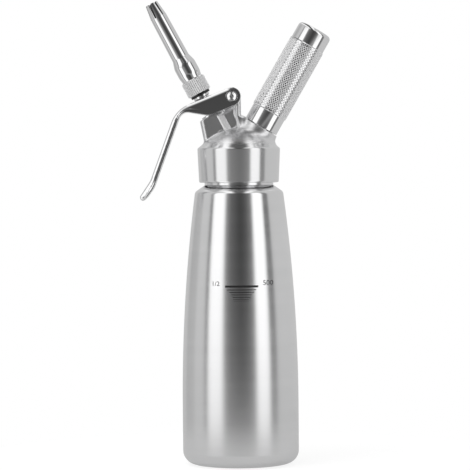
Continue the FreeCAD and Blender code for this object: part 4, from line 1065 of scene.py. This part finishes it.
class RowsAround(Tree):
    """A node tree that stands copies of one small piece in staggered rows around Z."""

    def __init__(self, name: str, sizes: Sequence[str], finishes: Sequence[str]) -> None:
        """Start the tree with its inputs and work out each copy's place.

        Args:
            name: name of the tree.
            sizes: names of the small piece's own sizes.
            finishes: names of its material inputs.
        """
        super().__init__(bpy.data.node_groups.new(name, "GeometryNodeTree"))
        face = self.tree.interface
        for kind, labels in (("Int", ("Around", "Rows")), ("Float", ("Radius", "Foot", "Pitch", *sizes)),
                             ("Material", finishes)):
            for label in labels:
                face.new_socket(label, in_out="INPUT", socket_type="NodeSocket" + kind)
        face.new_socket("Mesh", in_out="OUTPUT", socket_type="NodeSocketGeometry")
        self.given = self.add("NodeGroupInput").outputs
        given, calc = self.given, self.calc
        index = self.add("GeometryNodeInputIndex").outputs["Index"]
        row = calc("FLOOR", calc("DIVIDE", index, given["Around"]))
        shift = calc("MULTIPLY", calc("MODULO", row, 2.0), 0.5)
        column = calc("ADD", calc("MODULO", index, given["Around"]), shift)
        self.angle = calc("MULTIPLY", calc("DIVIDE", column, given["Around"]), 2 * math.pi)
        place = self.add("CombineXYZ", {
            "X": calc("MULTIPLY", calc("COSINE", self.angle), given["Radius"]),
            "Y": calc("MULTIPLY", calc("SINE", self.angle), given["Radius"]),
            "Z": calc("ADD", given["Foot"], calc("MULTIPLY", row, given["Pitch"]))})
        self.points = self.add("GeometryNodePoints", {
            "Count": calc("MULTIPLY", given["Around"], given["Rows"]), "Position": place.outputs["Vector"]})

    def painted(self, mesh: bpy.types.NodeSocket, finish: str,
                chosen: object = True) -> bpy.types.NodeSocket:
        """Return the mesh with a material input set on it, or on its chosen faces only."""
        paint = self.add("GeometryNodeSetMaterial", {
            "Geometry": mesh, "Material": self.given[finish], "Selection": chosen})
        return paint.outputs["Geometry"]

    def finish(self, piece: bpy.types.NodeSocket) -> bpy.types.NodeTree:
        """Return the tree, which turns a copy of the piece outwards at each place."""
        turn = self.add("CombineXYZ", {"Z": self.angle}).outputs["Vector"]
        stand = self.add("GeometryNodeInstanceOnPoints", {
            "Points": self.points.outputs[0], "Instance": piece, "Rotation": turn}).outputs["Instances"]
        real = self.add("GeometryNodeRealizeInstances", {"Geometry": stand}).outputs["Geometry"]
        self.add("NodeGroupOutput", {"Mesh": real})
        return self.tree


def grown(name: str, tree: bpy.types.NodeTree, inputs: dict[str, object]) -> bpy.types.Object:
    """Return the plain mesh that a geometry node tree makes.

    Args:
        name: name of the piece.
        tree: the node tree.
        inputs: values for its inputs, by name.

    Returns:
        A mesh object with no modifier.
    """
    carrier = placed(name, bpy.data.meshes.new(name))
    modifier = carrier.modifiers.new(name, "NODES")
    modifier.node_group = tree
    for item in tree.interface.items_tree:
        if getattr(item, "in_out", "") == "INPUT" and item.name in inputs:
            modifier[item.identifier] = inputs[item.name]
    bpy.context.view_layer.update()
    mesh = bpy.data.meshes.new_from_object(carrier.evaluated_get(bpy.context.evaluated_depsgraph_get()))
    carrier.modifiers.clear()
    carrier.data = mesh
    mesh.name = name
    return carrier


# ---------------------------------------------------------------- nozzle


@dataclass
class Nozzle:
    """The decorator tip, its ribbed nut, the black seal and the pieces on the stem.

    An outline's rows are a radius, a height and the corner's own radius.
    """

    ribs: int = 36
    rib_rise: float = 0.6
    rib_radius: float = 7.72
    rib_middle: float = 59.5
    rib_length: float = 9.5
    rib_share: float = 0.8
    slits: int = 6
    slit_half: float = 0.5
    slit_flare: float = 0.35
    first_slit: float = 38.5
    gap_points: int = 3
    petal_points: int = 15
    wall: float = 0.8
    slit_foot: float = 111.4
    end: float = 121.58
    seal: tuple[Point, ...] = ((3.7, 52.72), (6.69, 52.72, 0.35), (6.69, 54.18, 0.35), (3.7, 54.18))
    sleeve: tuple[Point, ...] = (
        (3.43, 44.54), (6.88, 44.54, 0.4), (6.88, 47.5, 0.4), (4.6, 47.5, 0.5), (4.6, 51.1, 0.5),
        (5.49, 51.1, 0.2), (5.49, 52.69, 0.2), (3.43, 52.69))
    bush: tuple[Point, ...] = (
        (3.47, 32.2), (5.59, 32.2), (5.59, 37.8), (6.8, 37.8, 0.1), (6.8, 39.0, 0.4), (3.47, 39.0, 0.2))
    nut_wall: tuple[Point, ...] = (
        (3.72, 54.2), (7.3, 54.2, 0.3), (7.62, 54.7, 0.2), (7.62, 64.3, 0.2), (7.3, 64.8, 0.3), (6.6, 64.8),
        (6.6, 60.8), (3.72, 60.8))
    nut_groove: tuple[Point, ...] = ((7.4, 54.8), (7.65, 54.8), (7.65, 64.2), (7.4, 64.2))

    def tip_profile(self) -> np.ndarray:
        """Return the tip's outer profile as rows of height and radius."""
        corners = [(60.8, 6.5), (64.7, 6.5), (64.9, 6.75), (68.6, 7.46, 9.0), (75.6, 7.46, 8.0),
                   (80.8, 5.9, 3.0), (self.slit_foot, 5.5, 12.0), (self.end, 4.2)]
        line = rounded([(0.0, 0.0), *corners, (130.0, 0.0)], 8)[1:-1]
        heights = np.unique(np.concatenate([line[:, 0], np.arange(61.5, self.end, 0.9)]))
        return np.stack([heights, np.interp(heights, line[:, 0], line[:, 1])], 1)

    def ring(self, height: float, radius: float) -> list[tuple[float, float, float]]:
        """Return the points round the tip's wall at a height: each slit's, then its petal's."""
        flared = max(0.0, (height - self.slit_foot) / (self.end - self.slit_foot))
        alpha = math.asin((self.slit_half + self.slit_flare * flared) / radius)
        span = 2 * math.pi / self.slits - 2 * alpha
        angles: list[float] = []
        for k in range(self.slits):
            base = 2 * math.pi * k / self.slits
            angles += [base - alpha + 2 * alpha * i / self.gap_points for i in range(self.gap_points)]
            angles += [base + alpha + span * i / self.petal_points for i in range(self.petal_points)]
        return [(radius * math.cos(a), radius * math.sin(a), height) for a in angles]

    @staticmethod
    def shell_faces(full: np.ndarray) -> Faces:
        """Return the faces of a wall whose openings are closed by their sides.

        Args:
            full: for each row and column of the wall, whether it is there.

        Returns:
            The faces; the wall's inner points follow its outer ones.
        """
        layers, columns = full.shape
        inner = (layers + 1) * columns
        faces: Faces = []
        for j, i in np.argwhere(full).tolist():
            n = (i + 1) % columns
            a, b, c, d = j * columns + i, j * columns + n, (j + 1) * columns + n, (j + 1) * columns + i
            faces += [(a, b, c, d), (inner + a, inner + d, inner + c, inner + b)]
            if j == 0 or not full[j - 1, i]:
                faces.append((a, inner + a, inner + b, b))
            if j == layers - 1 or not full[j + 1, i]:
                faces.append((d, c, inner + c, inner + d))
            if not full[j, i - 1]:
                faces.append((a, d, inner + d, inner + a))
            if not full[j, n]:
                faces.append((b, inner + b, inner + c, c))
        return faces

    def tip(self) -> bpy.types.Object:
        """Return the decorator tip with its slits cut through."""
        rows = self.tip_profile()
        axis = Axis(VALVE.origin, VALVE.tilt, self.first_slit - 90.0)
        points = np.array([place for depth in (0.0, self.wall) for height, radius in rows
                           for place in self.ring(height, radius - depth)])
        per = self.gap_points + self.petal_points
        full = np.ones((len(rows) - 1, self.slits * per), bool)
        slitted = rows[:-1, 0] >= self.slit_foot - 1e-6
        in_gap = np.arange(self.slits * per) % per < self.gap_points
        full[np.ix_(slitted, in_gap)] = False
        return mesh_object("slitted_tip", axis.to_world(points), self.shell_faces(full))

    def paint_tip(self, piece: bpy.types.Object, finishes: Finishes) -> None:
        """Give the tip its polish, and its bore and the sides of its slits a dark grey that is painted shade.
        """
        piece.data.materials.append(finishes.by_slot[Slot.POLISHED])
        # The second finish is a dark grey that is painted shade for the faces inside the tip.
        piece.data.materials.append(finishes.bore)
        heights, radii = self.tip_profile().T
        below = 0.3
        for face in piece.data.polygons:
            x, y, z = VALVE.to_local(np.array(face.center) / MM)
            if math.hypot(x, y) < np.interp(z, heights, radii) - below:
                face.material_index = 1

    def rib_tree(self) -> bpy.types.NodeTree:
        """Return a node tree that stands ribs side by side around Z."""
        rows = RowsAround("ribs_around", ("Height", "Width"), ("Finish",))
        bar = rows.add("GeometryNodeMeshCylinder", {
            "Vertices": 4, "Radius": rows.given["Width"], "Depth": rows.given["Height"]})
        low = rows.add("GeometryNodeTransform", {
            "Geometry": bar.outputs["Mesh"], "Scale": (self.rib_rise, 1.0, 1.0)})
        return rows.finish(rows.painted(low.outputs["Geometry"], "Finish"))

    def nut(self, finishes: Finishes) -> bpy.types.Object:
        """Return the nut with its ribs."""
        core = lathe("nut_core", rounded(self.nut_wall, 4), VALVE, 180)
        core.data.materials.append(finishes.by_slot[Slot.TURNED])
        grooves = lathe("nut_grooves", self.nut_groove, VALVE, 180)
        # The groove band under the ribs takes the dark grey that is painted shade.
        grooves.data.materials.append(finishes.groove)
        width = math.pi * self.rib_radius / self.ribs
        ribs = grown("nut_ribs", self.rib_tree(), {
            "Around": self.ribs, "Rows": 1, "Radius": self.rib_radius * MM, "Foot": self.rib_middle * MM,
            "Pitch": 0.0, "Height": self.rib_length * MM, "Width": width * self.rib_share * MM,
            "Finish": finishes.fine_cut})
        VALVE.stand(ribs)
        return joined("ribbed_nut", [core, grooves, ribs])

    def build(self, finishes: Finishes) -> None:
        """Make the nozzle's pieces and those on the stem that show.

        Args:
            finishes: the dispenser's finishes.
        """
        tip = self.tip()
        self.paint_tip(tip, finishes)
        finishes.dress(tip, "decorator_tip", Slot.POLISHED, ["decorator_tip"], painted=True)
        finishes.dress(self.nut(finishes), "decorator_tip", Slot.TURNED, ["tip_nut"], painted=True)
        for name, outline, segments, body, slot, node in (
                ("nozzle_seal", self.seal, 96, "tip_seal", Slot.BLACK, "tip_seal"),
                ("stem_sleeve", self.sleeve, 128, "valve_stem", Slot.TURNED, "press_collar"),
                ("stem_guide", self.bush, 96, "head", Slot.TURNED, "valve_guide_bush")):
            finishes.dress(lathe(name, rounded(outline, 5), VALVE, segments), body, slot, [node])


@dataclass
class ReturnSpring:
    """The spring round the stem, which the lever's stroke presses together."""

    wire: float = 0.45
    mean_radius: float = 4.5
    turns: float = 4.0
    steps_per_turn: int = 40
    foot: float = 23.0
    top: float = 30.5
    stroke: float = 2.42
    sides: int = 10

    def build(self, finishes: Finishes) -> None:
        """Make the coil from its foot to its top round the stem.

        Args:
            finishes: the dispenser's finishes.
        """
        steps = int(self.steps_per_turn * self.turns)
        turn = np.linspace(0, 2 * math.pi * self.turns, steps + 1)
        rise = np.linspace(self.foot + self.wire, self.top - self.wire, steps + 1)
        rows = []
        for k in range(self.sides):
            around = 2 * math.pi * k / self.sides
            far = self.mean_radius + self.wire * math.cos(around)
            rows.append(around_z(far, turn, rise + self.wire * math.sin(around)))
        points, faces = swept(rows)
        coil = mesh_object("return_spring", VALVE.to_world(points), faces)
        finishes.dress(coil, "head", Slot.TURNED, ["valve_spring"])
        anchor = VALVE.to_world(np.array([0.0, 0.0, self.foot])) * MM
        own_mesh(coil)


# ---------------------------------------------------------------- charger holder


@dataclass
class Holder:
    """The knurled charger holder, whose grip is covered with small flat-topped pyramids."""

    around: int = 44
    valley: float = 12.02
    peak: float = 12.19
    shoulder: float = 12.18
    barrel: float = 11.65
    row_pitch: float = 1.07
    flat_top: float = 0.66
    low: float = 41.1
    high: float = 91.3
    plain_ends: float = 1.6

    def outline(self) -> np.ndarray:
        """Return the holder's wall as a closed outline of radius and height."""
        step = 0.25
        return rounded([
            (9.9, 29.64), (self.barrel, 29.64, 0.12), (self.barrel, self.low - 0.5),
            (self.shoulder, self.low), (self.valley, self.low + step), (self.valley, self.high - step),
            (self.shoulder, self.high), (self.barrel, self.high + 0.5), (self.barrel, 103.38, 2.6),
            (0, 103.38), (0, 98.22), (9.28, 98.22), (9.28, 38.5), (9.9, 38.5)], 6)

    def knurl_tree(self) -> bpy.types.NodeTree:
        """Return a node tree that covers a cylinder about Z with staggered, flat-topped pyramids."""
        rows = RowsAround("diamond_knurl", ("Rise", "Half", "Top", "Stretch"), ("Finish", "Crown"))
        stone = rows.add("GeometryNodeMeshCone", {
            "Vertices": 4, "Radius Top": rows.given["Top"], "Radius Bottom": rows.given["Half"],
            "Depth": rows.given["Rise"]})
        cut = rows.painted(rows.painted(stone.outputs["Mesh"], "Finish"), "Crown", stone.outputs["Top"])
        size = rows.add("CombineXYZ", {"X": rows.given["Stretch"], "Y": 1.0, "Z": 1.0}).outputs["Vector"]
        lay = rows.add("GeometryNodeTransform", {
            "Geometry": cut, "Rotation": (0.0, math.pi / 2, 0.0), "Scale": size})
        return rows.finish(lay.outputs["Geometry"])

    def build(self, finishes: Finishes) -> None:
        """Make the holder's body and its knurled grip.

        Args:
            finishes: the dispenser's finishes.
        """
        body = lathe("holder_shell", self.outline(), CHARGER, 192)
        finishes.dress(body, "charger_holder", Slot.HOLDER, ["charger_holder"])
        half = math.pi * self.valley / self.around
        rows = int((self.high - self.low - self.plain_ends) / self.row_pitch)
        foot = (self.low + self.high - (rows - 1) * self.row_pitch) / 2
        grip = grown("knurl", self.knurl_tree(), {
            "Around": self.around, "Rows": rows, "Radius": self.valley * MM, "Foot": foot * MM,
            "Pitch": self.row_pitch * MM, "Rise": (self.peak - self.valley) * MM, "Half": half * MM,
            "Top": half * self.flat_top * MM, "Stretch": self.row_pitch / half, "Finish": finishes.fine_cut,
            "Crown": finishes.by_slot[Slot.HOLDER]})
        CHARGER.stand(grip)
        finishes.dress(grip, "charger_holder", Slot.HOLDER, painted=True)


# ---------------------------------------------------------------- carried-over nodes


@dataclass
class Internals:
    """The pieces that stay as they were cut: only their finishes are set."""

    def build(self, finishes: Finishes) -> None:
        """Give every node that still shows its finish.

        Args:
            finishes: the dispenser's finishes.
        """
        slots = {
            Slot.BOTTLE: ["neck_thread_ring"],
            Slot.TURNED: ["valve_stem", "spring_retainer", "pin_carrier", "piercing_pin", "carrier_nut"],
            Slot.CHARGER: ["gas_charger"],
            Slot.GASKET: ["head_gasket"],
            Slot.BLACK: ["stem_o_ring", "valve_seat_gasket", "check_valve", "charger_seal", "holder_cushion"],
        }
        for slot, names in slots.items():
            for name in names:
                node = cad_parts[name]
                node.data.materials.clear()
                node.data.materials.append(finishes.by_slot[slot])
                LOG.info("%s takes %s", name, slot.value)


# ---------------------------------------------------------------- studio


@dataclass
class Studio:
    """The pale floor, the soft studio surroundings, the lamp and the camera.

    Bands are pairs of a direction and a grey level: side_bands in degrees around, haze and
    ceiling_share in degrees above the horizon, and ceiling_strips by how far to the side they lie.
    """

    floor_radius: float = 0.2
    floor_drop: float = 0.0004
    floor_sides: int = 96
    camera_place: tuple[float, float, float] = (-0.0029, -1.66, 0.197)
    camera_aim: tuple[float, float, float] = (-0.0029, 0.0, 0.1518)
    lens: float = 191.6
    sensor: float = 36.0
    roll: float = 0.0078
    lamp_place: tuple[float, float, float] = (-0.35, -0.45, 1.2)
    lamp_aim: tuple[float, float, float] = (0.0, 0.0, 0.1)
    lamp_size: float = 0.9
    lamp_power: float = 5.0
    haze_level: float = 0.5
    side_bands: tuple[Point, ...] = (
        (-180, 0.60), (-139, 0.58), (-135, 0.45), (-106, 0.50), (-103, 0.62), (-79, 0.62), (-76, 0.2),
        (-70, 0.2), (-67, 1.2), (-38, 1.2), (-32, 0.25), (-22, 0.13), (-8, 0.08), (2, 0.05), (14, 0.08),
        (30, 0.2), (35, 1.25), (60, 1.25), (63, 0.15), (76, 0.2), (81, 0.60), (180, 0.60))
    haze: tuple[Point, ...] = (
        (-17, 0.0), (-11, 0.4), (-6.5, 0.46), (-5.3, 0.28), (-3, 0.12), (0, 0.05), (3, 0.0))
    ceiling_strips: tuple[Point, ...] = (
        (-1.0, 0.6), (-0.46, 0.6), (-0.4, 1.2), (-0.22, 1.2), (-0.17, 0.1), (0.17, 0.1), (0.22, 1.1),
        (0.36, 1.1), (0.42, 0.45), (0.55, 0.62), (1.0, 0.6))
    ceiling_share: tuple[Point, ...] = ((-60, 1.0), (-40, 0.0), (30, 0.0), (52, 1.0))

    def floor(self) -> None:
        """Make the round floor, which stays white but keeps the object's shadow."""
        angles = np.linspace(0, 2 * math.pi, self.floor_sides, endpoint=False)
        level = np.full(self.floor_sides, -self.floor_drop / self.floor_radius)
        points = np.stack([np.cos(angles), np.sin(angles), level], 1) * self.floor_radius / MM
        piece = mesh_object("floor", points, [tuple(range(self.floor_sides))])
        n = Surface("pale_floor")
        seen = n.add("LightPath").outputs
        either = n.calc("MAXIMUM", n.calc("MAXIMUM", seen["Is Camera Ray"], seen["Is Glossy Ray"]),
                        seen["Is Transmission Ray"])
        matt = n.add("BsdfDiffuse", {"Color": n.ramp(n.noise(300.0), [(0.0, 0.86), (1.0, 0.9)])})
        dim = n.calc("MULTIPLY_ADD", seen["Is Glossy Ray"], -0.62, 1.15)
        glow = n.add("Emission", {"Color": (1.0, 1.0, 1.0, 1.0), "Strength": dim})
        mixed = n.add("MixShader", {
            0: n.calc("MULTIPLY", either, 0.72), 1: matt.outputs["BSDF"], 2: glow.outputs["Emission"]})
        piece.data.materials.append(n.closed(mixed.outputs["Shader"]))

    def surroundings(self) -> None:
        """Set a studio of soft boxes and dark cards that the steel reflects; the camera sees white."""
        world = bpy.data.worlds.new("studio")
        bpy.context.scene.world = world
        world.use_nodes = True
        n = Tree(world.node_tree)
        x, y, z = n.add("SeparateXYZ", {"Vector": n.add("TexCoord").outputs["Generated"]}).outputs
        turn = n.calc("ARCTAN2", x, n.calc("MULTIPLY", y, -1.0))
        around = n.calc("ADD", n.calc("DIVIDE", turn, 2 * math.pi), 0.5)
        rise = n.calc("ADD", n.calc("DIVIDE", n.calc("ARCSINE", z), math.pi), 0.5)
        aside = n.calc("ADD", n.calc("MULTIPLY", x, 0.5), 0.5)
        grey = (self.haze_level, self.haze_level, self.haze_level, 1.0)
        sides = n.mix(n.ramp(rise, self.haze, 90), n.ramp(around, self.side_bands, 180), grey)
        above = n.ramp(aside, self.ceiling_strips, 1)
        room = n.add("Background", {"Color": n.mix(n.ramp(rise, self.ceiling_share, 90), sides, above)})
        white = n.add("Background", {"Color": (1.0, 1.0, 1.0, 1.0)})
        either = n.add("MixShader", {
            0: n.add("LightPath").outputs["Is Camera Ray"], 1: room.outputs["Background"],
            2: white.outputs["Background"]})
        n.add("OutputWorld", {"Surface": either.outputs["Shader"]})

    def lamps(self) -> None:
        """Hang one wide soft lamp above the object."""
        light = bpy.data.lights.new("overhead", "AREA")
        light.shape = "DISK"
        light.size = self.lamp_size
        light.energy = self.lamp_power
        lamp = placed("overhead", light)
        lamp.location = self.lamp_place
        lamp.rotation_euler = (Vector(self.lamp_aim) - lamp.location).to_track_quat("-Z", "Y").to_euler()
        lamp.visible_glossy = False

    def camera(self) -> None:
        """Set the camera at the viewing height, with its slight roll."""
        data = bpy.data.cameras.new("view")
        data.lens = self.lens
        data.sensor_width = self.sensor
        data.clip_end = 20.0
        place, aim = Vector(self.camera_place), Vector(self.camera_aim)
        back = (place - aim).normalized()
        right = Vector((0, 0, 1)).cross(back).normalized()
        up = back.cross(right)
        up = (up * math.cos(self.roll) + right * math.sin(self.roll)).normalized()
        right = up.cross(back)
        camera = placed("view", data)
        camera.matrix_world = Matrix.Translation(place) @ Matrix((right, up, back)).transposed().to_4x4()
        bpy.context.scene.camera = camera

    def build(self) -> None:
        """Make the whole studio."""
        self.floor()
        self.surroundings()
        self.lamps()
        self.camera()


def main() -> None:
    """Build the studio and every sub-assembly in order."""
    logging.basicConfig(level=logging.INFO, format="%(name)s: %(message)s")
    bpy.context.scene.view_settings.view_transform = "Standard"
    Studio().build()
    finishes = Finishes()
    for part in (Bottle(), Head(), Lever(), Nozzle(), ReturnSpring(), Holder(), Internals()):
        part.build(finishes)
        LOG.info("%s done", type(part).__name__)


if __name__ == "__main__":
    main()
